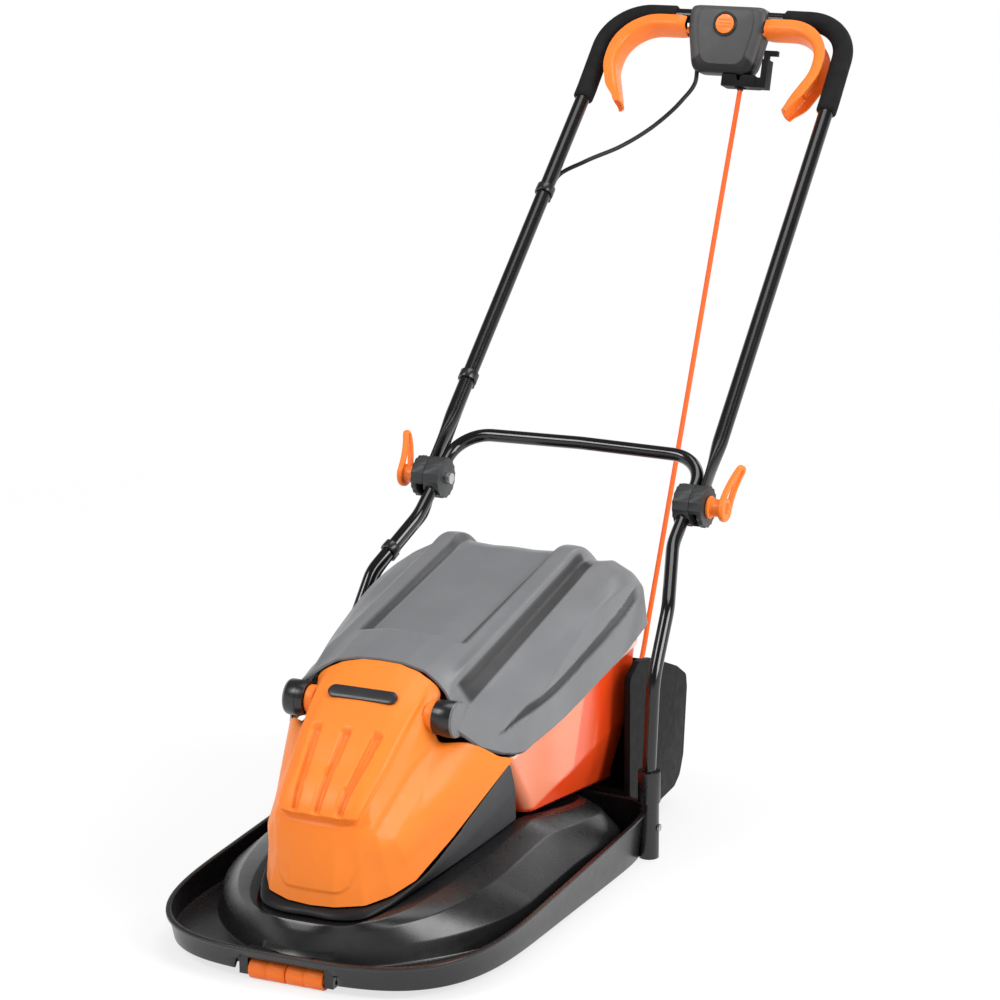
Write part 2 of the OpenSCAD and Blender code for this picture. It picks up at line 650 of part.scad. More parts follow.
// Switch box on the grip bar, in its own leaning frame: front is -Y, split at the bar axis
box_half_w = 57;
module in_box() {
  translate([0, bar_y, bar_z]) rotate([-box_lean, 0, 0]) children();
}
box_face = [
  [-46, -81], [46, -81], [52, -77], [55, -68], [box_half_w, -20], [box_half_w, 4], [54, 12], [46, 14],
  [-46, 14], [-54, 12], [-box_half_w, 4], [-box_half_w, -20], [-55, -68], [-52, -77]];
module box_slab(y, l, scale_by) {
  translate([0, y + l, -33]) rotate([90, 0, 0]) linear_extrude(l)
    polygon([for (p = box_face) [p[0], p[1] + 33] * scale_by]);
}
module bar_bore() {
  translate([-80, 0, 0]) rotate([0, 90, 0]) cylinder(h = 160, r = tube_r + 0.5);
}
button_z = -13;
module switch_box_front() {
  color(dark_grey) difference() {
    union() {
      in_box() difference() {
        union() {
          box_slab(-16, 16, 1);
          box_slab(-20, 6, 0.92);
        }
        box_slab(-16.5, 20, 0.88);
        bar_bore();
        translate([0, -30, button_z]) rotate([-90, 0, 0]) cylinder(h = 40, r = button_d / 2 + 0.05);
        // Ways out for the levers and the motor lead
        translate([-70, -15.5, -36]) cube([140, 16.5, 24]);
        translate([lead_exit_x, 0, -90]) cylinder(h = 22, r = 7);
        translate([-42, 0, -90]) cylinder(h = 22, r = motor_lead_d / 2 + 0.4);
      }
      // Posts that hold the lever pins
      pair() at_pivot(3.5) cylinder(h = 3.3, r = 5);
    }
    pair() at_pivot(-4) cylinder(h = 10.05, r = 3.03);
  }
}
module switch_box_rear() {
  color(dark_grey) in_box() difference() {
    box_slab(0.3, 13.7, 1);
    box_slab(-2, 13.5, 0.88);
    bar_bore();
    translate([-42, 0, -90]) cylinder(h = 22, r = motor_lead_d / 2 + 0.4);
    translate([lead_exit_x, 0, -90]) cylinder(h = 22, r = 7);
    for (s = [-1, 1]) translate([s * 38, -1, -64]) rotate([-90, 0, 0]) cylinder(h = 30, r = 2.2);
  }
}
module box_screws() {
  color(steel) in_box() for (s = [-1, 1]) translate([s * 38, 0, -64]) rotate([-90, 0, 0]) union() {
    translate([0, 0, 3]) cylinder(h = 11.4, r = 2);
    translate([0, 0, 14.2]) cylinder(h = 2.4, r = 3.8);
  }
}
module micro_switch() {
  color(black) in_box() union() {
    translate([-14, -6, -66]) cube([28, 17.5, 20]);
    translate([-3, -9, -60]) cube([6, 4, 8]);
  }
}

// Lock-off button: pushed into the face against a spring
module lock_button() {
  color(orange) in_box() translate([0, 0, button_z]) rotate([90, 0, 0]) difference() {
    union() {
      translate([0, 0, 14.4]) cylinder(h = 9.2, r = button_d / 2);
      translate([0, 0, 14.4]) cylinder(h = 1.8, r = button_d / 2 + 1.5);
    }
    translate([0, 0, 13]) cylinder(h = 7, r = 8);
    for (k = [-1:1]) translate([-9, k * 5 - 0.6, 23]) cube([18, 1.2, 2]);
  }
}

// Spring under the button, wound as one wire
spring_turns = 4;
spring_gap = 2.1;
function spring_at(t) = [5.5 * cos(360 * t), 5.5 * sin(360 * t), spring_gap * t];
module button_spring() {
  path = [for (k = [0:8 * spring_turns]) spring_at(k / 8)];
  n = len(path);
  color(steel) in_box() translate([0, -10.8, button_z]) rotate([90, 0, 0])
    skin(tube_rings(path, [0, 0, 1], 6, same(0.4, n), same(0.4, n)));
}

// Bail levers lie in the plane of the handle: run S down the handle, normal N up and forward
handle_s = unit([0, -0.69, -0.72]);
handle_n = cross([1, 0, 0], handle_s) * -1;
lever_pivot = [46, 25];
function in_plane(x, s, n = 0) = [x, bar_y, bar_z] + handle_s * s + handle_n * n;
lever_line = [in_plane(62, 27), in_plane(145, 27), in_plane(146, 96), in_plane(121, 158)];
lever_bow = rounded(lever_line, [50, 60]);
lever_path = concat([for (x = [40.5, 48.3, 49.8, 59.5]) in_plane(x, 27)], lever_bow);
lever_section = [
  [18, -15], [18, -4], [14, 2.5], [-14, 2.5], [-18, -4], [-18, -15], [-15.4, -15], [-15.4, -3], [-12.5, 0],
  [12.5, 0], [15.4, -3], [15.4, -15]];
// Solid end of the lever inside the box: half thickness, and its two edges
function tongue(n, low, high) = let (mid = (low + high) / 2) [
  [n, low], [1.05 * n, mid], [n, high], [-n, high], [-1.05 * n, mid], [-n, low], [-0.7 * n, low + 0.3],
  [-0.45 * n, low + 0.5], [-0.2 * n, low + 0.6], [0.2 * n, low + 0.6], [0.45 * n, low + 0.5],
  [0.7 * n, low + 0.3]];
lever_sections = concat(same(tongue(3.2, -7.5, 3.5), 2), same(tongue(2.8, -5.5, 1.5), 2),
  same(lever_section, len(lever_bow)));
plane_lean = atan2(handle_n[1] * -1, handle_n[2]);
module in_handle_plane() {
  translate(in_plane(0, 0)) rotate([plane_lean, 0, 0]) children();
}
module at_pivot(n) {
  in_handle_plane() translate([lever_pivot[0], -lever_pivot[1], n]) children();
}
module bail_lever_right() {
  color(orange) difference() {
    skin(profile_rings(lever_path, handle_n, lever_sections));
    at_pivot(-10) cylinder(h = 20, r = 3.05);
  }
}
module bail_lever_left() {
  mirror([1, 0, 0]) bail_lever_right();
}
module lever_pins() {
  color(steel) pair() at_pivot(-4) cylinder(h = 10, r = 3);
}

// Restraint under the switch box that holds a loop of the mains lead, with its hook
lead_exit_x = 27;
lead_exit = in_box_point(lead_exit_x, 0, -80);
lead_way = unit([-1, -286, -614]);
module cable_restraint() {
  color(black) in_box() difference() {
    union() {
      translate([2, -15, -98]) cube([50, 27, 16.6]);
      translate([50, -14, -98]) cube([17, 22, 40]);
      translate([64, -9, -52]) cube([14, 8, 7]);
      translate([58.5, -9, -62]) cube([7, 8, 17]);
    }
    translate([49.5, -14.1, -84]) cube([9, 22.2, 40]);
    translate([lead_exit_x, -6, -100]) rotate([8, 0, 0]) cylinder(h = 40, r = 7.5);
    translate([lead_exit_x, 0, -100]) cylinder(h = 40, r = 7.5);
  }
}
module lead_relief() {
  color(black) lead_cone(lead_exit, lead_exit + 22 * lead_way, 6, 4.4);
}
module lead_cone(p, q, r1, r2) {
  v = q - p;
  translate(p) rotate([0, acos(v[2] / norm(v)), atan2(v[1], v[0])]) cylinder(h = norm(v), r1 = r1, r2 = r2);
}

// Clips that hold the motor lead to the tubes, at places along the left leg
lead_stand = 1.2;
tube_lead_gap = tube_r + motor_lead_d / 2 + lead_stand;
module lead_clip(p, way, side, tr) {
  rod_len = 12;
  gap = tr + motor_lead_d / 2 + lead_stand;
  color(black) difference() {
    union() {
      rod(p - way * rod_len / 2, p + way * rod_len / 2, tr + 3);
      rod(p + side * gap - way * rod_len / 2, p + side * gap + way * rod_len / 2, motor_lead_d / 2 + 2.4);
    }
    rod(p - way * 20, p + way * 20, tr + 0.5);
    rod(p + side * gap - way * 20, p + side * gap + way * 20, motor_lead_d / 2 + 0.3);
  }
}
left_way = [-upper_way[0], upper_way[1], upper_way[2]];
under_side = unit(cross(left_way, [1, 0, 0]));
function on_left_leg(y) = [-upper_leg[0][0], upper_leg[0][1], upper_leg[0][2]]
  + left_way * (y - upper_leg[0][1]) / left_way[1];
module lead_clips_upper() {
  for (y = [440, 205]) lead_clip(on_left_leg(y), left_way, under_side, tube_r);
}
low_lead_gap = low_r + motor_lead_d / 2 + lead_stand;
low_way = unit([-27.5, -81, -58]);
low_side = unit(cross([1, 0, 0], low_way));
low_place = [-178.5, 31, 357] + low_way * 62;
module lead_clips_lower() {
  lead_clip(low_place, low_way, low_side, low_r);
}

// Motor lead: points chosen by hand down the left leg
function in_box_point(x, y, z) =
  [x, bar_y + y * cos(box_lean) + z * sin(box_lean), bar_z - y * sin(box_lean) + z * cos(box_lean)];
function under_leg(y, out) = on_left_leg(y) + under_side * (tube_lead_gap + out);
function under_low(d) = low_place + low_way * d + low_side * low_lead_gap;
upper_lead = [
  in_box_point(-42, 0, -74), in_box_point(-42, 0, -92), [-54, 618, 826], [-80, 590, 796], [-115, 550, 769],
  [-152, 505, 751], under_leg(470, 4), under_leg(449, 0.2), under_leg(430, 0), under_leg(320, 0),
  under_leg(205, 0), under_leg(180, 0.6), under_leg(150, 2.4), under_leg(128, 4.4)];
lower_lead = [
  under_low(-30), under_low(-12), under_low(0), under_low(8), under_low(15), [-208, -56, 268],
  [-205, -84, 210], [-202, -98, 156], [-199, -106, 112], [-193, -124, 88], [-192, -170, 84], [-184, -240, 98],
  [-168, -296, 116], [-150, -334, 126], [-141, -348, 128]];
loop_lead = [
  under_leg(127.78, 4.42), under_leg(106, 6.4), [-196, 108, 366], [-194, 84, 344], [-190, 50, 336],
  under_low(-46), under_low(-30.2)];
function lead_skin(pts, cut, r) = let (path = spline(pts, cut), n = len(path))
  tube_rings(path, [1, 0, 0], 8, same(r, n), same(r, n));
module motor_lead_upper() {
  color(black) skin(lead_skin(upper_lead, 3, motor_lead_d / 2));
}
module motor_lead_lower() {
  color(black) skin(lead_skin(lower_lead, 2, motor_lead_d / 2));
}
module motor_lead_loop() {
  color(black) skin(lead_skin(loop_lead, 3, motor_lead_d / 2));
}
gland_way = unit([9, -13, 1]);
module lead_gland() {
  p = lower_lead[len(lower_lead) - 1];
  color(black) rod(p + gland_way * 0.2, p + gland_way * 15, 6.5);
}

// Clamp hardware on each upper leg: ribbed cap over its flat end, bolt, and wing knob that turns on the bolt
knob_x = 205.6;
leg_lean = atan2(upper_way[2], upper_way[1]);
knob_lean = 56;
module along_fold(x) {
  translate([x, fold_y, fold_z]) rotate([0, 90, 0]) children();
}
module clamp_caps() {
  color(dark_grey) pair() difference() {
    along_fold(clamp_x + clamp_w + 0.5) linear_extrude(17.3) polygon(ribbed(clamp_r, rib_depth, ribs));
    translate([192.5, fold_y, fold_z]) rotate([leg_lean, 0, 0]) translate([-6.5, -40, -13.3])
      cube([11.7, 80, 26.6]);
    fold_bore(180, 40);
  }
}
module clamp_bolts() {
  color(steel) pair() union() {
    along_fold(157) cylinder(h = 7.6, r = 8, $fn = 6);
    along_fold(157) cylinder(h = 64, r = bolt_r);
  }
}
module wing(from_r, to_r, out, h) {
  translate([0, 0, -h / 2]) linear_extrude(h) hull() {
    circle(r = from_r, $fn = 32);
    translate([0, out]) circle(r = to_r, $fn = 32);
  }
}
module clamp_knob_right() {
  color(orange) difference() {
    union() {
      along_fold(knob_x) cylinder(h = 20, r = 11.5);
      translate([knob_x + 20, fold_y, fold_z]) rotate([knob_lean, 0, 0]) rotate([0, 90, 0]) rotate([6, 0, 0])
        wing(16.5, 9, 51, 7);
    }
    translate([knob_x + 20, fold_y, fold_z]) rotate([knob_lean, 0, 0]) rotate([0, 90, 0]) rotate([6, 0, 0])
      translate([0, 22, 0]) wing(6.5, 4.5, 28, 30);
    fold_bore(knob_x - 1, 40);
  }
}
module clamp_knob_left() {
  mirror([1, 0, 0]) clamp_knob_right();
}

// Mains lead: from its relief down behind the body, into a coil on the ground
coil_mid = [-95, 222];
coil_in = 42;
coil_pitch = 7.5;
coil_layers = 4;
coil_low = lead_d / 2 + 1.6;
layer_turns = coil_turns / coil_layers;
coil_out = coil_in + layer_turns * coil_pitch;
function coil_r(u) = coil_out - coil_pitch * (layer_turns - abs(layer_turns - (u % (2 * layer_turns))));
function climb(v) = min(1, max(0, (v + 0.25) / 0.5));
function layers_up(u) = climb(u - layer_turns) + climb(u - 2 * layer_turns) + climb(u - 3 * layer_turns);
function coil_z(u) = coil_low + coil_pitch * layers_up(u);
function coil_at(u) =
  [coil_mid[0] + coil_r(u) * cos(360 * u), coil_mid[1] - coil_r(u) * sin(360 * u), coil_z(u)];
coil_rings = 24;
coil_line = [for (k = [0:coil_turns * coil_rings]) coil_at(k / coil_rings)];
coil_start = coil_line[0] + [0, lead_d, 0];
plug_r = 18;
coil_tail = [for (t = [[20, 0.1], [36, 0.5], [52, 0.9], [62, 1], [70, 1]])
  coil_line[len(coil_line) - 1] + [0, t[0], t[1] * (plug_r + 0.3 - coil_z(coil_turns))]];
coil_end = coil_tail[len(coil_tail) - 1];
lead_route = [
  lead_exit + 22.3 * lead_way, lead_exit + 50 * lead_way, [26, 564, 690], [26, 492, 536], [26, 415, 372],
  [25, 358, 246], [23, 326, 168], [19, 306, 104], [10, 290, 52], [-2, 274, 18], coil_start + [0, 30, 0],
  coil_start + [0, 14, 0], coil_start + [0, 0.2, 0]];
module mains_lead() {
  color(orange) skin(lead_skin(lead_route, 3, lead_d / 2));
}
module lead_coil() {
  path = concat([coil_start], coil_line, coil_tail);
  n = len(path);
  color(orange) skin(tube_rings(path, [0, 0, 1], 6, same(lead_d / 2, n), same(lead_d / 2, n)));
}
// Least gap between one turn and another, measured on the middle line
function gap_at(i) =
  min([for (j = [i + coil_rings / 2:len(coil_line) - 1]) norm(coil_line[i] - coil_line[j])]);
echo(least_coil_gap = min([for (i = [0:2:len(coil_line) - coil_rings]) gap_at(i)]) - lead_d);

// Two-pin plug on the end of the coil, lying on the ground
module plug() {
  p = coil_end;
  color(black) translate([p[0], p[1] + 0.2, p[2]]) rotate([-90, 0, 0]) union() {
    cylinder(h = 26, r1 = 5, r2 = 8);
    translate([0, 0, 25]) cylinder(h = 30, r1 = 13, r2 = 17);
    translate([0, 0, 55]) cylinder(h = 5, r = plug_r);
    for (s = [-1, 1]) translate([s * 9.5, 0, 59]) cylinder(h = 19, r = 2.4);
  }
}

hood();
handle_sockets();
socket_screws();
body_shell();
bulkhead();
front_cover();
hinge_stubs();
cover_badge();
grass_chute();
lower_handle();
clamp_left();
clamp_right();
motor_can_lower();
motor_can_upper();
stator_core();
field_coils();
motor_bearings();
brush_holders();
motor_bolts();
roller_bracket();
roller_axle();
lead_gland();
lead_clips_lower();
motor_lead_lower();
motor_shaft();
armature();
cooling_fan();
impeller();
blade_spacers();
cutting_blade();
blade_bolt();
roller_left();
roller_right();
grass_box();
lid();
lid_barrels();
upper_handle();
grip_left();
grip_right();
switch_box_front();
switch_box_rear();
box_screws();
micro_switch();
lever_pins();
cable_restraint();
lead_relief();
lead_clips_upper();
motor_lead_upper();
motor_lead_loop();
clamp_caps();
clamp_bolts();
clamp_knob_left();
clamp_knob_right();
bail_lever_left();
bail_lever_right();
lock_button();
button_spring();
mains_lead();
lead_coil();
plug();
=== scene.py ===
import json
import math
import bmesh
import bpy
import numpy as np
from mathutils import Matrix, Vector


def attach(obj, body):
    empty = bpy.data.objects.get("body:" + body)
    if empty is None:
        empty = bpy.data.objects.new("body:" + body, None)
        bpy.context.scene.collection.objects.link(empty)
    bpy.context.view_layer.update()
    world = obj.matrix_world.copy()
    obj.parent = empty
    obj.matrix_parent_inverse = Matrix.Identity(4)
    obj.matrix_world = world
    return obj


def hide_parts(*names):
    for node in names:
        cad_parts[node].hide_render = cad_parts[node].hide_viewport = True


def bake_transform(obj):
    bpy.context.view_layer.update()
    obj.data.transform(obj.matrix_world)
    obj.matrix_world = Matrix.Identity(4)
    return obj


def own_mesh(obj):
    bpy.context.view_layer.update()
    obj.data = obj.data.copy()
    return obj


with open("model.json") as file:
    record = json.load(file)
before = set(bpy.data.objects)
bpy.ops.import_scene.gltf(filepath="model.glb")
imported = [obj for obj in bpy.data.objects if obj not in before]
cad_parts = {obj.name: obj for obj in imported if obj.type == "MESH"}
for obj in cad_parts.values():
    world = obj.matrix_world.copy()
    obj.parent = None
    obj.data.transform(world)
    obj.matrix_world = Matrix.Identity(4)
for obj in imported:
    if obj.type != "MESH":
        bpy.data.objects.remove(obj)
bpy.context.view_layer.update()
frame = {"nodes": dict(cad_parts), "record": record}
metre = 0.001
print("stage: frame loaded")


# Small tools for rows and grids of points, in millimetres
def arr(points):
    return np.array(points, float)


def unit(v):
    v = np.asarray(v, float)
    return v / np.linalg.norm(v, axis=-1, keepdims=True)


def smooth(t):
    t = np.clip(t, 0, 1)
    return t * t * (3 - 2 * t)


def bell(d, half, soft):
    return smooth((half - np.abs(d)) / soft + 0.5)


def mirrored(points):
    return np.asarray(points, float) * [-1, 1, 1]


# Points from their coordinates, any of which may be one number for all
def asPoints(*coords):
    return np.stack(np.broadcast_arrays(*coords), -1)


# Cubic curve through the rows of p, cut points a stretch; its slopes lean to the nearer neighbour
def spline(p, cut):
    p = arr(p)
    d = np.diff(p, axis=0)
    long = np.maximum(np.linalg.norm(d, axis=-1, keepdims=True), 1e-9)
    way = d / long
    inner = (way[:-1] * long[1:] + way[1:] * long[:-1]) / (long[:-1] + long[1:])
    slope = np.concatenate([way[:1], inner, way[-1:]])
    t = (np.arange(cut) / cut).reshape((1, cut) + (1,) * (p.ndim - 1))
    a, b, u, v = (q[:, None] for q in (p[:-1], p[1:], slope[:-1] * long, slope[1:] * long))
    out = a * (2 * t ** 3 - 3 * t ** 2 + 1) + b * (3 * t ** 2 - 2 * t ** 3) \
        + u * (t ** 3 - 2 * t ** 2 + t) + v * (t ** 3 - t ** 2)
    return np.concatenate([out.reshape((-1,) + p.shape[1:]), p[-1:]])


# Line through the points with each inner corner turned into an arc of its radius
def rounded(points, radii, steps=10):
    p = arr(points)
    out = [p[:1]]
    for i, r in enumerate(radii, 1):
        u, v = unit(p[i - 1] - p[i]), unit(p[i + 1] - p[i])
        half = math.acos(np.clip(u @ v, -1, 1)) / 2
        mid = p[i] + unit(u + v) * r / math.sin(half)
        a = p[i] + u * r / math.tan(half) - mid
        b = p[i] + v * r / math.tan(half) - mid
        w = unit(b - a * (a @ b) / (a @ a))
        t = np.linspace(0, math.pi - 2 * half, steps + 1)[:, None]
        out.append(mid + a * np.cos(t) + w * r * np.sin(t))
    out.append(p[-1:])
    return np.concatenate(out)


# Distance of each point of a line from its start
def runOf(path):
    return np.concatenate([[0], np.cumsum(np.linalg.norm(np.diff(path, axis=0), axis=1))])


# Points at even distances along a line
def evenly(path, step):
    path = arr(path)
    s = runOf(path)
    at = np.linspace(0, s[-1], max(2, int(round(s[-1] / step)) + 1))
    return asPoints(*(np.interp(at, s, c) for c in path.T))


# Each inner column of a grid of rows becomes a small arc that starts r before it and ends r after it
def softCorners(grid, r, steps=4):
    g = arr(grid)
    out = [g[:, :1]]
    t = np.linspace(0, 1, steps + 1)[None, :, None]
    for i in range(1, g.shape[1] - 1):
        p = g[:, i:i + 1]
        q0, q1 = (p + d * np.minimum(r / np.maximum(np.linalg.norm(d, axis=2, keepdims=True), 1e-6), 0.45)
                  for d in (g[:, i - 1:i] - p, g[:, i + 1:i + 2] - p))
        out.append((1 - t) ** 2 * q0 + 2 * t * (1 - t) * p + t ** 2 * q1)
    out.append(g[:, -1:])
    return np.concatenate(out, 1)


# Columns of a grid added until no stretch of its longest row is over step
def densify(grid, step):
    g = arr(grid)
    gaps = np.linalg.norm(np.diff(g, axis=1), axis=2).max(0)
    out = []
    for i, gap in enumerate(gaps):
        n = max(1, int(math.ceil(gap / step)))
        t = (np.arange(n) / n)[None, :, None]
        out.append(g[:, i:i + 1] * (1 - t) + g[:, i + 1:i + 2] * t)
    out.append(g[:, -1:])
    return np.concatenate(out, 1)


# Normals of a grid, crossed from the differences of its columns and rows, turned away from a point inside
def outwardOf(g, inside):
    n = np.cross(np.gradient(g, axis=1), np.gradient(g, axis=0))
    n = n / np.maximum(np.linalg.norm(n, axis=2, keepdims=True), 1e-9)
    return n * np.sign((n * (g - inside)).sum(2, keepdims=True))


# Side direction and cross direction carried along a path without twist
def carried(path, n0):
    t = unit(np.gradient(path, axis=0))
    n = np.empty_like(path)
    last = arr(n0)
    for i, way in enumerate(t):
        last = unit(last - (last @ way) * way)
        n[i] = last
    return n, np.cross(t, n)


# Rings of a profile of (side, across) points carried along a path, scaled at each point
def sweep(path, n0, profile, scale=1.0):
    path = arr(path)
    n, b = carried(path, n0)
    q = arr(profile)
    if q.ndim == 2:
        q = np.broadcast_to(q, (len(path),) + q.shape)
    q = q * np.reshape(scale, (-1, 1, 1))
    return path[:, None] + n[:, None] * q[..., :1] + b[:, None] * q[..., 1:2]


def fullTurn(count):
    return 2 * math.pi * np.arange(count) / count


def arc(r, a):
    return r * asPoints(np.cos(a), np.sin(a))


def circle(r, sides):
    return arc(r, fullTurn(sides))


# Ring or arc of radius r about a line along X through y and z
def ringAt(x, r, y, z, a):
    return asPoints(x, y + r * np.cos(a), z + r * np.sin(a))


# Rings joined by faces; a loop joins the last ring to the first, otherwise fans close the two ends
def loftMesh(rings, loop=False):
    rings = arr(rings)
    m, n = rings.shape[:2]
    verts = rings.reshape(-1, 3)
    k, i = np.meshgrid(np.arange(m if loop else m - 1), np.arange(n), indexing="ij")
    k2, i2 = (k + 1) % m, (i + 1) % n
    faces = np.stack([k * n + i, k * n + i2, k2 * n + i2, k2 * n + i], -1).reshape(-1, 4).tolist()
    if not loop:
        first, last = np.arange(n), (m - 1) * n + np.arange(n)
        verts = np.concatenate([verts, [rings[0].mean(0), rings[-1].mean(0)]])
        faces += asPoints(m * n, np.roll(first, -1), first).tolist()
        faces += asPoints(m * n + 1, last, np.roll(last, -1)).tolist()
    return verts, faces


# Closed sheet between two grids of the same size
def sheetMesh(top, low):
    m, n = top.shape[:2]
    s = m * n
    k, i = np.meshgrid(np.arange(m - 1), np.arange(n - 1), indexing="ij")
    a = (k * n + i).reshape(-1)
    up = np.stack([a, a + 1, a + n + 1, a + n], 1)
    rim = np.concatenate([np.arange(n - 1), np.arange(m - 1) * n + n - 1,
                          (m - 1) * n + np.arange(n - 1, 0, -1), np.arange(m - 1, 0, -1) * n])
    nxt = np.roll(rim, -1)
    side = np.stack([rim, s + rim, s + nxt, nxt], 1)
    faces = np.concatenate([up, s + up[:, ::-1], side])
    return np.concatenate([top.reshape(-1, 3), low.reshape(-1, 3)]), faces.tolist()


def joined(*meshes):
    verts, faces, base = [], [], 0
    for v, f in meshes:
        verts.append(arr(v))
        faces += [[base + i for i in face] for face in f]
        base += len(v)
    return np.concatenate(verts), faces


def flipped(mesh):
    v, f = mesh
    return mirrored(v), [face[::-1] for face in f]


def bothSides(mesh):
    return joined(mesh, flipped(mesh))


def rightAndLeft(mesh):
    return ("Right", "right", mesh), ("Left", "left", flipped(mesh))


# Piece from points in millimetres, with its faces turned outwards, on its body and in place of its nodes
def piece(name, mesh, material, body, nodes=(), sharp=38, attribute=None, ride=True):
    v, f = mesh
    data = bpy.data.meshes.new(name)
    data.from_pydata((arr(v) * metre).tolist(), [], [list(map(int, face)) for face in f])
    if attribute is not None:
        tone = data.attributes.new("tone", "FLOAT", "POINT")
        tone.data.foreach_set("value", np.asarray(attribute, np.float32))
    turn = bmesh.new()
    turn.from_mesh(data)
    bmesh.ops.recalc_face_normals(turn, faces=turn.faces)
    turn.to_mesh(data)
    turn.free()
    data.shade_smooth()
    data.set_sharp_from_angle(angle=math.radians(sharp))
    return settle(bpy.data.objects.new(name, data), material, body, nodes, ride)


def settle(obj, material, body, nodes, ride=True):
    bpy.context.scene.collection.objects.link(obj)
    obj.data.materials.clear()
    obj.data.materials.append(material)
    if nodes:
        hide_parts(*nodes)
    if ride:
        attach(obj, body)
    return obj


bevelAngle = math.radians(32)


# Merged copy of a CAD node, with the edges sharper than the angle rounded
def softened(node, name, material, body, width, segments=3):
    data = frame["nodes"][node].data.copy()
    data.transform(frame["nodes"][node].matrix_world)
    edit = bmesh.new()
    edit.from_mesh(data)
    bmesh.ops.remove_doubles(edit, verts=edit.verts, dist=2e-6)
    bmesh.ops.dissolve_limit(edit, angle_limit=math.radians(1.5), verts=edit.verts, edges=edit.edges)
    edit.to_mesh(data)
    edit.free()
    data.name = name
    data.shade_smooth()
    obj = bpy.data.objects.new(name, data)
    settle(obj, material, body, [node])
    bevel = obj.modifiers.new("edges", "BEVEL")
    bevel.width = width * metre
    bevel.segments = segments
    bevel.limit_method = "ANGLE"
    bevel.angle_limit = bevelAngle
    bevel.use_clamp_overlap = True
    bevel.harden_normals = True
    return obj


# Camera of the photograph: place, heading, height angle and roll, fitted to matched points
camera = dict(place=(1.750, -3.775, 1.504), azimuth=25.45, elevation=14.81, roll=-0.476, lens=122.4,
              sensor=36, clipEnd=50)
az, el, roll = (math.radians(camera[k]) for k in ("azimuth", "elevation", "roll"))
back = Vector((math.sin(az) * math.cos(el), -math.cos(az) * math.cos(el), math.sin(el)))
level = Vector((math.cos(az), math.sin(az), 0))
right = level * math.cos(roll) + back.cross(level) * math.sin(roll)
upward = back.cross(right)
lensData = bpy.data.cameras.new("camera")
lensData.lens = camera["lens"]
lensData.sensor_width = camera["sensor"]
lensData.clip_end = camera["clipEnd"]
cameraObject = bpy.data.objects.new("camera", lensData)
turn = Matrix((right, upward, back)).transposed().to_4x4()
cameraObject.matrix_world = Matrix.Translation(Vector(camera["place"])) @ turn
bpy.context.scene.collection.objects.link(cameraObject)
bpy.context.scene.camera = cameraObject
bpy.context.scene.view_settings.view_transform = "Standard"
print("stage: camera")


# Inputs of a node, each set to a value or linked to another node
def setInputs(tree, node, inputs):
    for key, value in dict(inputs).items():
        if isinstance(value, bpy.types.NodeSocket):
            tree.links.new(value, node.inputs[key])
        else:
            node.inputs[key].default_value = value


def addNode(tree, kind, inputs=(), **settings):
    node = tree.nodes.new("ShaderNode" + kind)
    for key, value in settings.items():
        setattr(node, key, value)
    setInputs(tree, node, inputs)
    return node


def newMaterial(name):
    m = bpy.data.materials.new(name)
    m.use_nodes = True
    return m, m.node_tree, addNode(m.node_tree, "TexCoord").outputs["Object"]


def noise(tree, where, scale, detail=4.0, roughness=0.55):
    inputs = {"Vector": where, "Scale": scale, "Detail": detail, "Roughness": roughness}
    return addNode(tree, "TexNoise", inputs).outputs["Fac"]


def ranged(tree, value, low, high, fromLow=0.3, fromHigh=0.7, shape="LINEAR"):
    inputs = {"Value": value, "From Min": fromLow, "From Max": fromHigh, "To Min": low, "To Max": high}
    return addNode(tree, "MapRange", inputs, interpolation_type=shape).outputs["Result"]


def combined(tree, operation, a, b):
    return addNode(tree, "Math", {0: a, 1: b}, operation=operation).outputs[0]


def mixColour(tree, factor, a, b):
    a, b = ((*c, 1) if isinstance(c, tuple) else c for c in (a, b))
    return addNode(tree, "Mix", {"Factor": factor, "A": a, "B": b}, data_type="RGBA").outputs["Result"]


def clouded(tree, where, scale, detail, deep, pale):
    return mixColour(tree, ranged(tree, noise(tree, where, scale, detail), 0, 1), deep, pale)


# Share of the second colour, carried by the points of a piece
def toneOf(tree):
    return addNode(tree, "Attribute", attribute_name="tone").outputs["Fac"]


def finished(m, inputs):
    setInputs(m.node_tree, m.node_tree.nodes["Principled BSDF"], inputs)
    return m


# Moulded plastic: two near colours in soft clouds, roughness that wanders, and a fine grain
def plastic(name, colour, rough, grain=900.0, bump=0.02, spread=0.06, coat=0.0, spec=0.5, toneColour=None,
            clouds=14.0):
    m, tree, where = newMaterial(name)
    pale = tuple(min(1.0, c * (1 + spread)) for c in colour)
    deep = tuple(c * (1 - spread) for c in colour)
    base = clouded(tree, where, clouds, 5.0, deep, pale)
    if toneColour is not None:
        base = mixColour(tree, toneOf(tree), base, toneColour)
    scuff = ranged(tree, noise(tree, where, clouds * 5, 6.0, 0.6), rough * 0.9, min(1.0, rough * 1.12))
    inputs = {"Base Color": base, "Roughness": scuff, "Specular IOR Level": spec, "Coat Weight": coat,
              "Coat Roughness": 0.12}
    if bump:
        relief = {"Strength": bump, "Distance": 0.0004, "Height": noise(tree, where, grain, 2.0)}
        inputs["Normal"] = addNode(tree, "Bump", relief).outputs["Normal"]
    return finished(m, inputs)


# Metal: bright base with fine scratches in its roughness
def metal(name, colour, rough):
    m, tree, where = newMaterial(name)
    base = clouded(tree, where, 60.0, 4.0, tuple(c * 0.88 for c in colour), colour)
    fine = ranged(tree, noise(tree, where, 420.0, 6.0), rough * 0.75, rough * 1.3)
    return finished(m, {"Base Color": base, "Metallic": 1.0, "Roughness": fine})


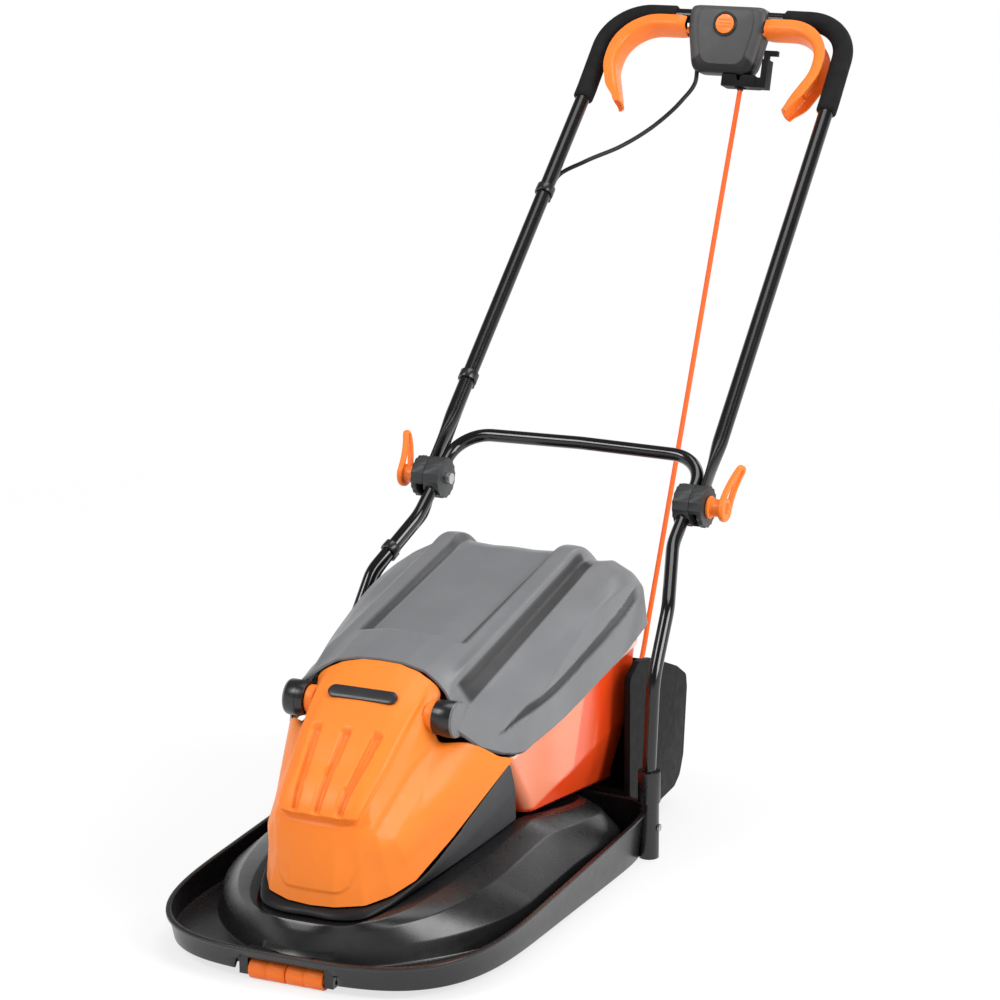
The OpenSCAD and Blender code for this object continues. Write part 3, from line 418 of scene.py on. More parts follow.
# Clear plastic that lets a little light through: a tone up to one half paints a reflection on the panes,
# above it a painted highlight on the rim
def clearPlastic(name, deep, pale, paneReflectionColour, rimHighlightColour):
    m, tree, where = newMaterial(name)
    base = clouded(tree, where, 9.0, 4.0, deep, pale)
    tone = toneOf(tree)
    base = mixColour(tree, ranged(tree, tone, 0, 1, 0.0, 0.5), base, paneReflectionColour)
    base = mixColour(tree, ranged(tree, tone, 0, 1, 0.5, 1.0), base, rimHighlightColour)
    scuff = ranged(tree, noise(tree, where, 90.0, 6.0), 0.14, 0.22)
    return finished(m, {"Base Color": base, "Roughness": scuff, "Transmission Weight": 0.06, "IOR": 1.45,
                        "Specular IOR Level": 0.3})


deckBlack = plastic("deckBlack", (0.009, 0.009, 0.010), 0.28, bump=0.0, spread=0.15, spec=0.6)
chuteBlack = plastic("chuteBlack", (0.005, 0.005, 0.005), 0.55, bump=0.03, spread=0.15, spec=0.15)
bodyGrey = plastic("bodyGrey", (0.055, 0.056, 0.059), 0.46, bump=0.05, spread=0.1, spec=0.3,
                   toneColour=(0.006, 0.006, 0.006))
# The lid's dark second colour is painted shade for its channels, strakes and panel walls
lidGrey = plastic("lidGrey", (0.160, 0.163, 0.171), 0.36, grain=1100.0, bump=0.07, spread=0.05, spec=0.7,
                  toneColour=(0.010, 0.010, 0.011))
clampGrey = plastic("clampGrey", (0.034, 0.036, 0.037), 0.42, bump=0.04, spread=0.1, spec=0.35)
boxGrey = plastic("boxGrey", (0.060, 0.061, 0.063), 0.44, grain=1300.0, bump=0.07, spread=0.06, spec=0.35,
                  toneColour=(0.008, 0.008, 0.009))
coverOrange = plastic("coverOrange", (0.90, 0.222, 0.022), 0.40, spread=0.03, spec=0.3)
leverOrange = plastic("leverOrange", (0.92, 0.195, 0.018), 0.34, spread=0.04, spec=0.4)
leadOrange = plastic("leadOrange", (0.90, 0.125, 0.012), 0.45, grain=1500.0, bump=0.01, spread=0.05, spec=0.3)
rollerOrange = plastic("rollerOrange", (0.90, 0.175, 0.014), 0.40, spread=0.05, spec=0.35)
glossTube = plastic("glossTube", (0.004, 0.004, 0.005), 0.12, bump=0.0, spread=0.2, coat=0.3)
satinTube = plastic("satinTube", (0.005, 0.005, 0.006), 0.20, bump=0.0, spread=0.2)
foamBlack = plastic("foamBlack", (0.012, 0.012, 0.012), 0.86, grain=1600.0, bump=0.45, spread=0.22, spec=0.15,
                    clouds=60.0)
leadBlack = plastic("leadBlack", (0.007, 0.007, 0.008), 0.40, grain=1500.0, bump=0.01, spread=0.15, spec=0.3)
badgeGrey = plastic("badgeGrey", (0.022, 0.023, 0.025), 0.30, spread=0.1, coat=0.1, spec=0.4)
buttonOrange = plastic("buttonOrange", (0.92, 0.195, 0.016), 0.30, spread=0.04, spec=0.4)
# Pale pink pane colour and near-white rim colour of the grass box: painted reflection and painted highlight
boxRed = clearPlastic("boxRed", (0.88, 0.064, 0.010), (0.93, 0.085, 0.016), (0.94, 0.34, 0.20),
                      (0.96, 0.80, 0.72))
steelMetal = metal("steelMetal", (0.62, 0.62, 0.64), 0.32)
copperMetal = metal("copperMetal", (0.70, 0.33, 0.15), 0.36)

finishOf = {
    "black_plastic": deckBlack, "dark_grey_plastic": bodyGrey, "grey_plastic": lidGrey,
    "orange_plastic": leverOrange, "roller_plastic": rollerOrange, "clear_red_plastic": boxRed,
    "black_tube": satinTube, "foam": foamBlack, "steel": steelMetal, "copper": copperMetal,
    "orange_lead": leadOrange, "black_lead": leadBlack}
for part in frame["record"]["subparts"]:
    for spot in frame["nodes"][part["node"]].material_slots:
        spot.material = finishOf[part["material_slot"]]
print("stage: finishes")

# Mains lead: points from its relief to the ground, then a flat coil of four layers and a tail to the plug
mains = dict(diameter=7.0, middle=(-95.0, 222.0), inner=42.0, pitch=7.5, turns=22.5, layers=4, lift=1.6,
             plugR=18.0, perTurn=48, sides=14)
boxLean = math.radians(18)
barMiddle = arr([0, 668, 938.5])
boxRight = arr([1, 0, 0])
boxBack = arr([0, math.cos(boxLean), -math.sin(boxLean)])
boxUp = arr([0, math.sin(boxLean), math.cos(boxLean)])


def inBox(points):
    p = arr(points)
    return barMiddle + p[..., :1] * boxRight + p[..., 1:2] * boxBack + p[..., 2:3] * boxUp


leadExit = inBox([27, 0, -80])
leadWay = unit([-1, -286, -614])
layerTurns = mains["turns"] / mains["layers"]
turnsAt = np.arange(0, mains["turns"] * mains["perTurn"] + 1) / mains["perTurn"]
outer = mains["inner"] + layerTurns * mains["pitch"]
zigzag = layerTurns - np.abs(layerTurns - turnsAt % (2 * layerTurns))
radiusAt = outer - mains["pitch"] * zigzag
climbs = [np.clip((turnsAt - k * layerTurns + 0.25) / 0.5, 0, 1) for k in (1, 2, 3)]
heightAt = mains["diameter"] / 2 + mains["lift"] + mains["pitch"] * sum(climbs)
coilLine = asPoints(mains["middle"][0] + radiusAt * np.cos(2 * math.pi * turnsAt),
                    mains["middle"][1] - radiusAt * np.sin(2 * math.pi * turnsAt), heightAt)
coilStart = coilLine[0] + [0, mains["diameter"], 0]
drop = mains["plugR"] + 0.3 - coilLine[-1][2]
coilTail = coilLine[-1] + arr([[0, 20, 0.1 * drop], [0, 36, 0.5 * drop], [0, 52, 0.9 * drop], [0, 62, drop],
                               [0, 70, drop]])
leadRoute = arr([leadExit + 22.3 * leadWay, leadExit + 50 * leadWay, [26, 564, 690], [26, 492, 536],
                 [26, 415, 372], [25, 358, 246], [23, 326, 168], [19, 306, 104], [10, 290, 52], [-2, 274, 18],
                 coilStart + [0, 30, 0], coilStart + [0, 14, 0]])
mainsPath = np.concatenate([spline(leadRoute, 10), [coilStart], coilLine,
                            spline(np.concatenate([coilLine[-1:], coilTail]), 4)[1:]])
mainsRings = sweep(mainsPath, [0, 0, 1], circle(mains["diameter"] / 2, mains["sides"]))
mainsLead = piece("mainsLead", loftMesh(mainsRings), leadOrange, "root",
                  ["mains_lead", "lead_coil"], ride=False)
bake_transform(mainsLead)
plugPiece = softened("plug", "plugBody", leadBlack, "root", 1.2)

# Tape ties round the coil: a hoop in the upright plane through its middle, at each angle
ties = dict(angles=(80, 200, 320), halfWide=7.0, halfThick=0.5, clear=5.0, low=0.8, over=1.2, cornerR=4.0)
tieLow, tieHigh = ties["low"], mains["lift"] + mains["diameter"] + 3 * mains["pitch"] + ties["over"]
tieIn, tieOut = mains["inner"] - ties["clear"], outer + ties["clear"]
tieStart = (tieIn, 0, (tieLow + tieHigh) / 2)
hoop = rounded([tieStart, (tieIn, 0, tieLow), (tieOut, 0, tieLow), (tieOut, 0, tieHigh),
                (tieIn, 0, tieHigh), tieStart], [ties["cornerR"]] * 4, 5)
strap = arr([[-1, -1], [1, -1], [1, 1], [-1, 1]]) * [ties["halfWide"], ties["halfThick"]]
tieMeshes = []
for angle in np.radians(ties["angles"]):
    out, side = arr([math.cos(angle), math.sin(angle), 0]), arr([-math.sin(angle), math.cos(angle), 0])
    centre = arr([*mains["middle"], 0]) + hoop[:, :1] * out + hoop[:, 2:3] * arr([0, 0, 1])
    tieMeshes.append(loftMesh(sweep(centre[:-1], side, strap), loop=True))
piece("coilTies", joined(*tieMeshes), leadBlack, "root")

# Motor lead: from the switch box along the left legs into the body, one smooth line
motorLead = dict(diameter=6.0, standOff=1.2, tubeR=10.0, lowR=8.5, sides=14)
legTop = arr([-180, 575, 841.8])
legFoot = arr([-192.5, 72.7, 382.9])
leftWay = unit(legTop - legFoot)
underSide = unit(np.cross(leftWay, [1, 0, 0]))
lowWay = unit([-27.5, -81, -58])
lowSide = unit(np.cross([1, 0, 0], lowWay))
lowPlace = arr([-178.5, 31, 357]) + lowWay * 62


def underLeg(y, out):
    gap = motorLead["tubeR"] + motorLead["diameter"] / 2 + motorLead["standOff"]
    return legFoot + leftWay * (y - legFoot[1]) / leftWay[1] + underSide * (gap + out)


def underLow(d):
    gap = motorLead["lowR"] + motorLead["diameter"] / 2 + motorLead["standOff"]
    return lowPlace + lowWay * d + lowSide * gap


motorRoute = arr([
    inBox([-42, 0, -74]), inBox([-42, 0, -92]), [-54, 618, 826], [-80, 590, 796], [-115, 550, 769],
    [-152, 505, 751], underLeg(470, 4), underLeg(449, 0.2), underLeg(430, 0), underLeg(320, 0),
    underLeg(205, 0), underLeg(180, 0.6), underLeg(150, 2.4), underLeg(128, 4.4), underLeg(106, 6.4),
    [-196, 108, 366], [-194, 84, 344], [-190, 50, 336], underLow(-46), underLow(-30), underLow(-12),
    underLow(0), underLow(8), underLow(15), [-208, -56, 268], [-205, -84, 210], [-202, -98, 156],
    [-199, -106, 112], [-193, -124, 88], [-192, -170, 84], [-184, -240, 98], [-168, -296, 116],
    [-150, -334, 126], [-141, -348, 128]])
motorPath = spline(motorRoute, 10)
motorRings = sweep(motorPath, [1, 0, 0], circle(motorLead["diameter"] / 2, motorLead["sides"]))
motorCord = piece("motorLead", loftMesh(motorRings), leadBlack, "root",
                  ["motor_lead_upper", "motor_lead_loop", "motor_lead_lower"], ride=False)
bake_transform(motorCord)

# Deck hood: rings of squared ovals from the skirt over the rim, into the gutter, up the dome and back under
deck = dict(middle=-420.0, halfW=216.0, front=258.0, rear=330.0, wall=3.5, motorY=-455.0, round=300,
            notchX=60.5, notchY=-640.5, notchZ=30.5)


def outline(a, front, frontPower, rear, rearPower, taper=0.0, middle=None):
    t = fullTurn(deck["round"])
    s, c = np.sin(t), np.cos(t)
    e = np.where(s < 0, 2 / frontPower, 2 / rearPower)
    y = np.where(s < 0, front, rear) * np.sign(s) * np.abs(s) ** e
    x = a * np.sign(c) * np.abs(c) ** e * (1 + taper * y)
    return asPoints(x, (deck["middle"] if middle is None else middle) + y)


def skirtZ(y):
    return np.maximum(0, (-125 - y) * 11 / 550)


def rimZ(y):
    return 41 + 20 * (y + 678) / 553


def gutterZ(y):
    return skirtZ(y) + 10


def ridgeZ(y):
    return np.interp(y, [-640, -316, -120], [64, 104, 69])


def wallLine(i):
    return outline(deck["halfW"] - i, deck["front"] - i, 3.4, deck["rear"] - i, 12)


def domeLine(i):
    return outline(199 - i, 232 - i, 1.75, 318 - i, 8)


def ridgeLine(i):
    return outline(112 - i, 210 - i, 5, 300 - i, 5, 0.00137)


def atHeight(line, z):
    return asPoints(line[:, 0], line[:, 1], z)


def onSkirt(i):
    line = wallLine(i)
    return atHeight(line, skirtZ(line[:, 1]))


def onRim(i, drop):
    line = wallLine(i)
    return atHeight(line, rimZ(line[:, 1]) - drop)


def inGutter(line, drop=0.0):
    return atHeight(line, gutterZ(line[:, 1]) - drop)


def upDome(line, share, lift=0.0):
    g = gutterZ(line[:, 1])
    return atHeight(line, g + share * (ridgeZ(line[:, 1]) - g) + lift)


def mixed(a, b, k):
    return a * k + b * (1 - k)


wall = deck["wall"]
hole = outline(60, 60, 2, 60, 2, 0.0, deck["motorY"])
hoodRings = np.stack([
    onSkirt(8), mixed(onSkirt(5.6), onRim(5.6, 5), 0.5), onRim(3, 5), onRim(0, 4.5), onRim(0, 0.5),
    onRim(1, 0), onRim(5.5, 0), onRim(6.2, 1.5), inGutter(wallLine(5.5 + wall)),
    inGutter(domeLine(0)), upDome(domeLine(6), 0.4), upDome(mixed(domeLine(10), ridgeLine(0), 0.62), 0.8),
    upDome(mixed(domeLine(14), ridgeLine(0), 0.25), 0.96), upDome(ridgeLine(0), 1),
    upDome(ridgeLine(6), 1, -5), atHeight(hole, 80), atHeight(hole, 76),
    upDome(ridgeLine(8), 1, -5 - wall), upDome(mixed(domeLine(18), ridgeLine(4), 0.25), 0.96, -wall),
    upDome(mixed(domeLine(14), ridgeLine(4), 0.62), 0.8, -wall), upDome(domeLine(6 + wall), 0.4, -wall),
    inGutter(domeLine(wall), wall), inGutter(wallLine(9 + wall), wall), onSkirt(8 + wall)])
closedRings = np.concatenate([hoodRings[-1:], hoodRings, hoodRings[:1]]).transpose(1, 0, 2)
softRings = softCorners(closedRings, 2.2, 3)[:, 1:-1].transpose(1, 0, 2)
inNotch = (np.abs(softRings[..., 0]) < deck["notchX"] + 1.5) & (softRings[..., 1] < deck["notchY"])
softRings[..., 2] = np.where(inNotch, np.maximum(softRings[..., 2], deck["notchZ"]), softRings[..., 2])
piece("deckHood", loftMesh(softRings, loop=True), deckBlack, "root", ["hood"], sharp=45)
print("stage: deck")

# Body shell: loop on the deck, loop under the cover, with a rounded upper edge, and back inside
body = dict(
    low=[(0, -616), (40, -615), (66, -603), (80, -580), (92, -530), (106, -460), (118, -390), (127, -328)],
    top=[(0, -607.5, 74.4), (34, -604, 75.4), (62, -591.5, 77.2), (82, -563.5, 82), (97, -530.5, 91),
         (114, -465.5, 123.6), (134, -414, 165), (146, -382, 192)],
    wall=3.0, cornerR=6.0, shadeFrom=-450.0, shadeOver=90.0)
lowLine = arr(body["low"])
lowLift = np.where((lowLine[:, 0] > 75) | (lowLine[:, 1] > -400), 0.4, -1.6)
lowRow = spline(atHeight(lowLine, ridgeZ(lowLine[:, 1]) + lowLift), 10)
topRow = spline(arr(body["top"]), 10)


def fullRow(half):
    return np.concatenate([mirrored(half[:0:-1]), half])


def drawnIn(row, by):
    x, y = row[:, 0], row[:, 1]
    return row + asPoints(-np.sign(x) * np.minimum(np.abs(x), by), np.where(y < -450, by, -by), 0)


bodyLow, bodyTop = fullRow(lowRow), fullRow(topRow)
waist = bodyLow * 0.45 + bodyTop * 0.55 + unit(bodyTop * [1, 1, 0] - [0, -440, 0]) * [3, 3, 0]
bodyIn = [drawnIn(row, body["wall"]) for row in (bodyTop, bodyLow)]
bodyLoops = np.stack([bodyIn[1], bodyLow, waist, bodyTop, *bodyIn, bodyLow], 1)
bodyRings = softCorners(bodyLoops, body["cornerR"], 4)[:, 1:-1].transpose(1, 0, 2)
bodyMesh = loftMesh(bodyRings, loop=True)
noseShade = smooth((body["shadeFrom"] - arr(bodyMesh[0])[:, 1]) / body["shadeOver"])
piece("bodyShell", bodyMesh, bodyGrey, "root", ["body_shell"], sharp=50,
      attribute=noseShade)
print("stage: body")

# Front cover: rows from the lid seam to the lower edge, with soft creases between its facets
cover = dict(
    rows=[
        [(0, -424, 313), (25, -424, 312), (50, -425, 306), (68, -427, 297), (74, -428, 293), (78, -429, 289),
         (80, -430, 285)],
        [(0, -452, 295), (25, -452, 294), (48, -453, 290), (66, -454, 282), (75, -452, 270), (80, -449, 256),
         (83, -447, 234)],
        [(0, -540, 226), (24, -540, 225), (44, -540, 222), (58, -536, 215), (72, -525, 198), (90, -490, 196),
         (116, -428, 229)],
        [(0, -580, 184), (24, -580, 183), (44, -578, 180), (60, -570, 174), (76, -557, 158), (96, -508, 166),
         (134, -406, 213)],
        [(0, -588, 164), (24, -587, 163), (48, -583, 161), (68, -572, 156), (82, -554, 148), (101, -500, 158),
         (139, -398, 207)],
        [(0, -602, 110), (28, -600, 110), (56, -588, 110), (77, -566, 110), (91, -538, 112), (110, -476, 136),
         (145, -388, 203)],
        [(0, -608, 76), (30, -606, 77), (62, -592, 79), (82, -564, 84), (97, -531, 93), (114, -466, 126),
         (150, -378, 199)]],
    wall=3.0, cut=26, cornerR=3.2, step=2.3,
    grooveTop=252.0, grooveLow=177.0, narrowLow=183.0, grooveDepth=6.5, grooveSoft=3.6,
    pitchTop=39.0, pitchLow=28.0, halfTop=5.6, halfLow=4.0,
    scoopZ=[172, 190, 222, 282], scoopHalf=[47, 52, 59, 67], scoopLift=[10, 8, 5, 3], scoopEnd=173.0,
    seamZ=302.0, seamOver=26.0,
    faceZ=[92, 100, 125, 170], faceHalf=[34, 43, 54, 62], faceLift=1.8, faceEnd=93.0, faceTop=170.0,
    creaseUpper=554.0, creaseLower=521.0, creaseLean=0.73, upperFall=0.12, lowerFall=0.05, fallMost=3.0,
    sideZ=[100, 170, 215, 240], sideHalf=[50, 64, 74, 84])
coverRows = spline(arr([fullRow(arr(r)) for r in cover["rows"]]), cover["cut"])
coverGrid = densify(softCorners(coverRows, cover["cornerR"], 3), cover["step"])
gx, gy, gz = coverGrid[..., 0], coverGrid[..., 1], coverGrid[..., 2]
# Grooves: three bells across, closer together and narrower down their run
down = np.clip((cover["grooveTop"] - gz) / (cover["grooveTop"] - cover["narrowLow"]), 0, 1)
pitch = cover["pitchTop"] + (cover["pitchLow"] - cover["pitchTop"]) * down
grooveHalf = cover["halfTop"] + (cover["halfLow"] - cover["halfTop"]) * down
runHalf = (cover["grooveTop"] - cover["grooveLow"]) / 2
inRun = bell(gz - cover["grooveLow"] - runHalf, runHalf, 5)
groove = sum(bell(gx - k * pitch, grooveHalf, cover["grooveSoft"]) for k in (-1, 0, 1)) * inRun
# Scoop and flat face: raised areas whose half width follows the height
scoopHalf = np.interp(gz, cover["scoopZ"], cover["scoopHalf"])
scoop = bell(gx, scoopHalf, 6) * smooth((gz - cover["scoopEnd"]) / 6 + 0.5)
seam = smooth((cover["seamZ"] - gz) / cover["seamOver"])
faceHalf = np.interp(gz, cover["faceZ"], cover["faceHalf"])
faceSpan = smooth((gz - cover["faceEnd"]) / 5 + 0.5) * smooth((cover["faceTop"] - gz) / 6)
flatFace = bell(gx, faceHalf, 5) * faceSpan
# Facets of the sides: the surface falls away above one slanting line and below another
slant = gz - cover["creaseLean"] * gy
facets = cover["upperFall"] * np.maximum(slant - cover["creaseUpper"], 0) \
    + cover["lowerFall"] * np.maximum(cover["creaseLower"] - slant, 0)
onSide = smooth((np.abs(gx) - np.interp(gz, cover["sideZ"], cover["sideHalf"])) / 6)
raised = np.interp(gz, cover["scoopZ"], cover["scoopLift"]) * scoop * seam + cover["faceLift"] * flatFace
lift = raised - cover["grooveDepth"] * groove - np.minimum(facets, cover["fallMost"]) * onSide
coverTop = coverGrid + outwardOf(coverGrid, [0, -420, 120]) * lift[..., None]
coverLow = coverTop + cover["wall"] * unit(asPoints(0.3 * gx, -440, 130) - coverGrid)
piece("frontCover", sheetMesh(coverTop, coverLow), coverOrange, "root", ["front_cover"],
      sharp=60)
print("stage: cover")

# Plain pill plate on the cover, domed a little
badge = dict(half=36.0, r=8.5, place=(0, -469.5, 284), lean=38.0,
             levels=[(1.0, 1.0), (1.0, 3.2), (0.96, 3.9), (0.86, 4.3), (0.5, 4.6)])
pill = circle(badge["r"], 96)
pill[:, 0] += badge["half"] * np.sign(pill[:, 0]) * (np.abs(pill[:, 0]) > 1e-8)
leanS, leanC = math.sin(math.radians(badge["lean"])), math.cos(math.radians(badge["lean"]))
badgeRings = []
for share, z in badge["levels"]:
    x = np.sign(pill[:, 0]) * (np.abs(pill[:, 0]) - badge["r"] * (1 - share))
    y = pill[:, 1] * share
    badgeRings.append(asPoints(x, y * leanC - z * leanS, y * leanS + z * leanC) + badge["place"])
piece("badgePlate", loftMesh(badgeRings), badgeGrey, "root", ["cover_badge"])

# Lid: heights along Y of its lengthwise lines, a sunk panel, channels and side strakes, with painted shade on
# the panel walls, in the channels and on the strakes
lid = dict(rear=6, halfW=160.0, wall=3.0, panelX=66.0, panelFront=-342.0, panelDepth=9.0, panelWall=11.0,
           cornerR=16.0, strakeDepth=2.2,
           stations=[(-392, 0), (-342, 0), (-280, 0), (-220, 0), (-160, 0), (-110, 0), (-76, 0), (-52, 8),
                     (-30, 24), (-10, 46), (2, 78)],
           frontRow=[(0, -423.5, 316.2), (30, -423.5, 314.6), (58, -424.5, 308.6), (74, -427, 299.5),
                     (87, -431, 290), (98, -440, 282), (109.5, -449, 252), (126, -418, 223),
                     (142, -392, 210), (148, -374, 205)],
           edgeY=[-380, -221, -74, 0], edgeZ=[201, 220, 243, 262],
           strakeY=[-392, -330, -150, -40], strakeUp=[28, 38, 47, 52], strakeHalf=[0.2, 4.5, 7.0, 8.0])


def lidRow(y, fall):
    mid, ridge, side = 317 + 0.15 * (y + 424), 301 + 0.198 * (y + 424), 266 + 0.225 * (y + 430)
    shoulder = np.interp(y, [-400, -370, -322, -240, -168, -116, -60], [214, 224, 248, 286, 312, 322, 326])
    o = np.interp(y, [-392, -342, -280, 20], [-362, -332, -280, 20])
    k = np.interp(y, [-392, -342, -280], [0.955, 0.975, 1])
    edge = np.interp(o, lid["edgeY"], lid["edgeZ"])
    return [(0, y, mid - fall), (30, y, mid - 1 - fall), (60, y, 0.5 * (mid + ridge) - fall),
            (80, y, ridge - fall), (92, y, ridge - 1 - fall), (100, y, ridge - 18 - 0.8 * fall),
            (116, y, side - 0.45 * fall),
            (140 * k, (y + o) / 2, 0.45 * side + 0.55 * shoulder - 0.3 * fall),
            (153 * k, o, shoulder - 0.28 * fall), (lid["halfW"] * k, o, edge)]


# Square corner to a quarter circle: a share shrinks by the root of one less half the square of the other
def roundedPlan(grid):
    r = lid["cornerR"]
    u = np.clip((np.abs(grid[..., 0]) - lid["halfW"] + r) / r, 0, 1)
    v = np.clip((grid[..., 1] - lid["rear"] + r) / r, 0, 1)
    out = grid.copy()
    out[..., 0] -= np.sign(grid[..., 0]) * r * u * (1 - np.sqrt(1 - v * v / 2))
    out[..., 1] -= r * v * (1 - np.sqrt(1 - u * u / 2))
    return out


rearRow = [(p[0] * 0.985, lid["rear"], 264) for p in lidRow(0, 0)]
lidHalf = arr([lid["frontRow"]] + [lidRow(y, d) for y, d in lid["stations"]] + [rearRow])
lidRows = spline(arr([fullRow(h) for h in lidHalf]), 14)
columnMark = np.concatenate([-np.arange(9, 0, -1), np.arange(10)]).astype(float)
markRows = np.broadcast_to(columnMark[None, :, None], lidRows.shape[:2] + (1,))
lidGrid = densify(softCorners(np.concatenate([lidRows, markRows], 2), 3.2, 3), 3.0)
mark = np.abs(lidGrid[..., 3])
lidGrid = roundedPlan(lidGrid[..., :3])
lx, ly, lz = lidGrid[..., 0], lidGrid[..., 1], lidGrid[..., 2]
across = bell(lx, lid["panelX"], lid["panelWall"])
lengthwise = smooth((ly - lid["panelFront"]) / lid["panelWall"] + 0.5) * smooth(-ly / 30)
strakeAt = np.interp(ly, lid["edgeY"], lid["edgeZ"]) + np.interp(ly, lid["strakeY"], lid["strakeUp"])
strakeHalf = np.interp(ly, lid["strakeY"], lid["strakeHalf"])
strake = smooth((strakeHalf - np.abs(lz - strakeAt)) / 2.5 + 0.5) * smooth((mark - 6.2) / 0.2) \
    * smooth((ly + 392) / 12) * smooth((-20 - ly) / 20)
# Mask of the painted shade in the channel beside each ridge
channelShade = smooth((mark - 4.3) / 0.2) * smooth((5.8 - mark) / 0.12) \
    * smooth((ly + 418) / 10) * smooth((-60 - ly) / 12)
sunk = lid["panelDepth"] * across * lengthwise + lid["strakeDepth"] * strake
lidTop = lidGrid - outwardOf(lidGrid, [0, -200, 150]) * sunk[..., None]
lidLow = lidTop * [1 - lid["wall"] / lid["halfW"], 1, 1] - [0, 0, lid["wall"]]
lidLow[..., 1] = np.minimum(lidLow[..., 1], lid["rear"] - lid["wall"])
# Painted shade: the walls of the sunk panel, the channels and the strakes take the dark second colour; the
# inside of the lid takes half of it
panelWallShade = smooth((4 * across * (1 - across) - 0.05) / 0.3) * lengthwise
tone = np.clip(0.96 * strake + 0.9 * channelShade + 0.85 * panelWallShade, 0, 1).reshape(-1)
piece("lidShell", sheetMesh(lidTop, lidLow), lidGrey, "lid", ["lid"], sharp=50,
      attribute=np.concatenate([tone, np.full(tone.shape, 0.5)]))
print("stage: lid")

# Hinge: orange stubs on the cover, dark barrels on the lid, and grey arms from a disc into the lid
softened("hinge_stubs", "hingeNecks", coverOrange, "root", 1.2)
softened("lid_barrels", "lidBarrels", deckBlack, "lid", 1.0)
arm = dict(y=-445.0, z=261.5, r=21.3, tailY=33.0, tailTop=5.0, tailLow=-30.0,
           levels=[(95, 1.2), (95, 0), (108.6, 0), (109.8, 0.5), (110.4, 1.8)],
           sleeve=[(93.6, 20.2), (94, 21.6), (107.2, 21.6), (107.8, 21.2)], bore=19.0)
a = np.radians(np.linspace(80, 292, 60))
armShape = np.concatenate([arc(arm["r"], a), [(0.5 * arm["tailY"], -27), (arm["tailY"], arm["tailLow"]),
                                              (arm["tailY"], arm["tailTop"]), (0.5 * arm["tailY"], 16)]])
armRings = []
for x, inset in arm["levels"]:
    shrunk = armShape * (1 - inset / np.linalg.norm(armShape, axis=1, keepdims=True))
    armRings.append(asPoints(x, arm["y"] + shrunk[:, 0], arm["z"] + shrunk[:, 1]))
armMesh = bothSides(loftMesh(armRings))
piece("lidArms", armMesh, lidGrey, "lid", attribute=np.full(len(armMesh[0]), 0.12))
a = np.radians(np.linspace(78, 294, 60))
sleeveOut = np.stack([ringAt(x, r, arm["y"], arm["z"], a) for x, r in arm["sleeve"]])
sleeveIn = np.stack([ringAt(x, arm["bore"], arm["y"], arm["z"], a) for x, r in arm["sleeve"]])
piece("barrelSleeves", bothSides(sheetMesh(sleeveOut, sleeveIn)), deckBlack, "lid")

# Grass box: round-cornered loops from floor to rim and back inside, with a slanting crease on each side, a
# painted reflection on the upper panes and a painted highlight along the rim
tray = dict(creaseFront=(-312, 106), creaseRear=(-10, 152), tuck=14.0, tuckOver=70.0, paneRear=-118.0,
            bandY=-154.0, bandZ=170.0, bandLean=0.25, bandHalf=26.0, paneReflectionShare=0.42, bandShare=0.3,
            rimHighlightShare=0.85)


def trayLoop(xf, yf, xr, yr, r, zf, zr):
    a = np.radians(np.linspace(0, 90, 9))
    corners = ((-xf + r, yf + r, 180), (xf - r, yf + r, 270), (xr - r, yr - r, 0), (-xr + r, yr - r, 90))
    loop = np.concatenate([arr([x, y]) + arc(r, a + math.radians(start)) for x, y, start in corners])
    return atHeight(loop, zf + (zr - zf) * (loop[:, 1] - yf) / (yr - yf))


trayLoops = arr([trayLoop(133, -304, 137, -38, 14, 104.6, 61.6), trayLoop(137, -308, 141, -34, 16, 109, 66),
                 trayLoop(142, -374, 149, -10, 16, 192, 236), trayLoop(144, -377, 152, -7, 16, 192, 240),
                 trayLoop(144, -377, 152, -7, 16, 196, 246), trayLoop(138, -370, 146, -13, 13, 196, 246),
                 trayLoop(134, -304, 138, -38, 12, 111, 68), trayLoop(131, -301, 135, -41, 12, 107.6, 64)])
columns = trayLoops.transpose(1, 0, 2)
outerSide = densify(columns[:, :3], 4.0)
innerSide = densify(columns[:, 5:7], 6.0)
traySides = np.concatenate([outerSide, columns[:, 3:5], innerSide, columns[:, 7:]], 1)
trayRings = densify(np.concatenate([traySides, traySides[:1]]).transpose(1, 0, 2), 6.0)[:, :-1]
ty, tz, tx = trayRings[..., 1], trayRings[..., 2], trayRings[..., 0]
(y0, z0), (y1, z1) = tray["creaseFront"], tray["creaseRear"]
creaseZ = z0 + (z1 - z0) * (ty - y0) / (y1 - y0)
below = np.clip((creaseZ - tz) / tray["tuckOver"], 0, 1) * np.clip((np.abs(tx) - 110) / 20, 0, 1)
trayRings[..., 0] = tx - np.sign(tx) * tray["tuck"] * below
isOuter = np.zeros(trayRings.shape[:2])
isOuter[:outerSide.shape[1]] = 1
# Painted reflection on the upper panes of the outer sides, weakened in a slanting band; painted highlight
# along the rim
paneReflectionMask = isOuter * smooth((tz - creaseZ) / 6) * smooth((np.abs(tx) - 120) / 12) \
    * smooth((tray["paneRear"] - ty) / 30)
band = bell(ty - tray["bandY"] - (tz - tray["bandZ"]) * tray["bandLean"], tray["bandHalf"], 8)
paneReflectionTone = paneReflectionMask * (tray["paneReflectionShare"] - tray["bandShare"] * band)
rimHighlightTone = smooth((tz - np.interp(ty, [-377, -7], [190, 236])) / 3)
toneAll = np.clip(paneReflectionTone + tray["rimHighlightShare"] * rimHighlightTone, 0, 1).reshape(-1)
piece("grassTray", loftMesh(trayRings), boxRed, "grass_box", ["grass_box"], sharp=30,
      attribute=np.concatenate([toneAll, [0, 0]]))
print("stage: grass box")

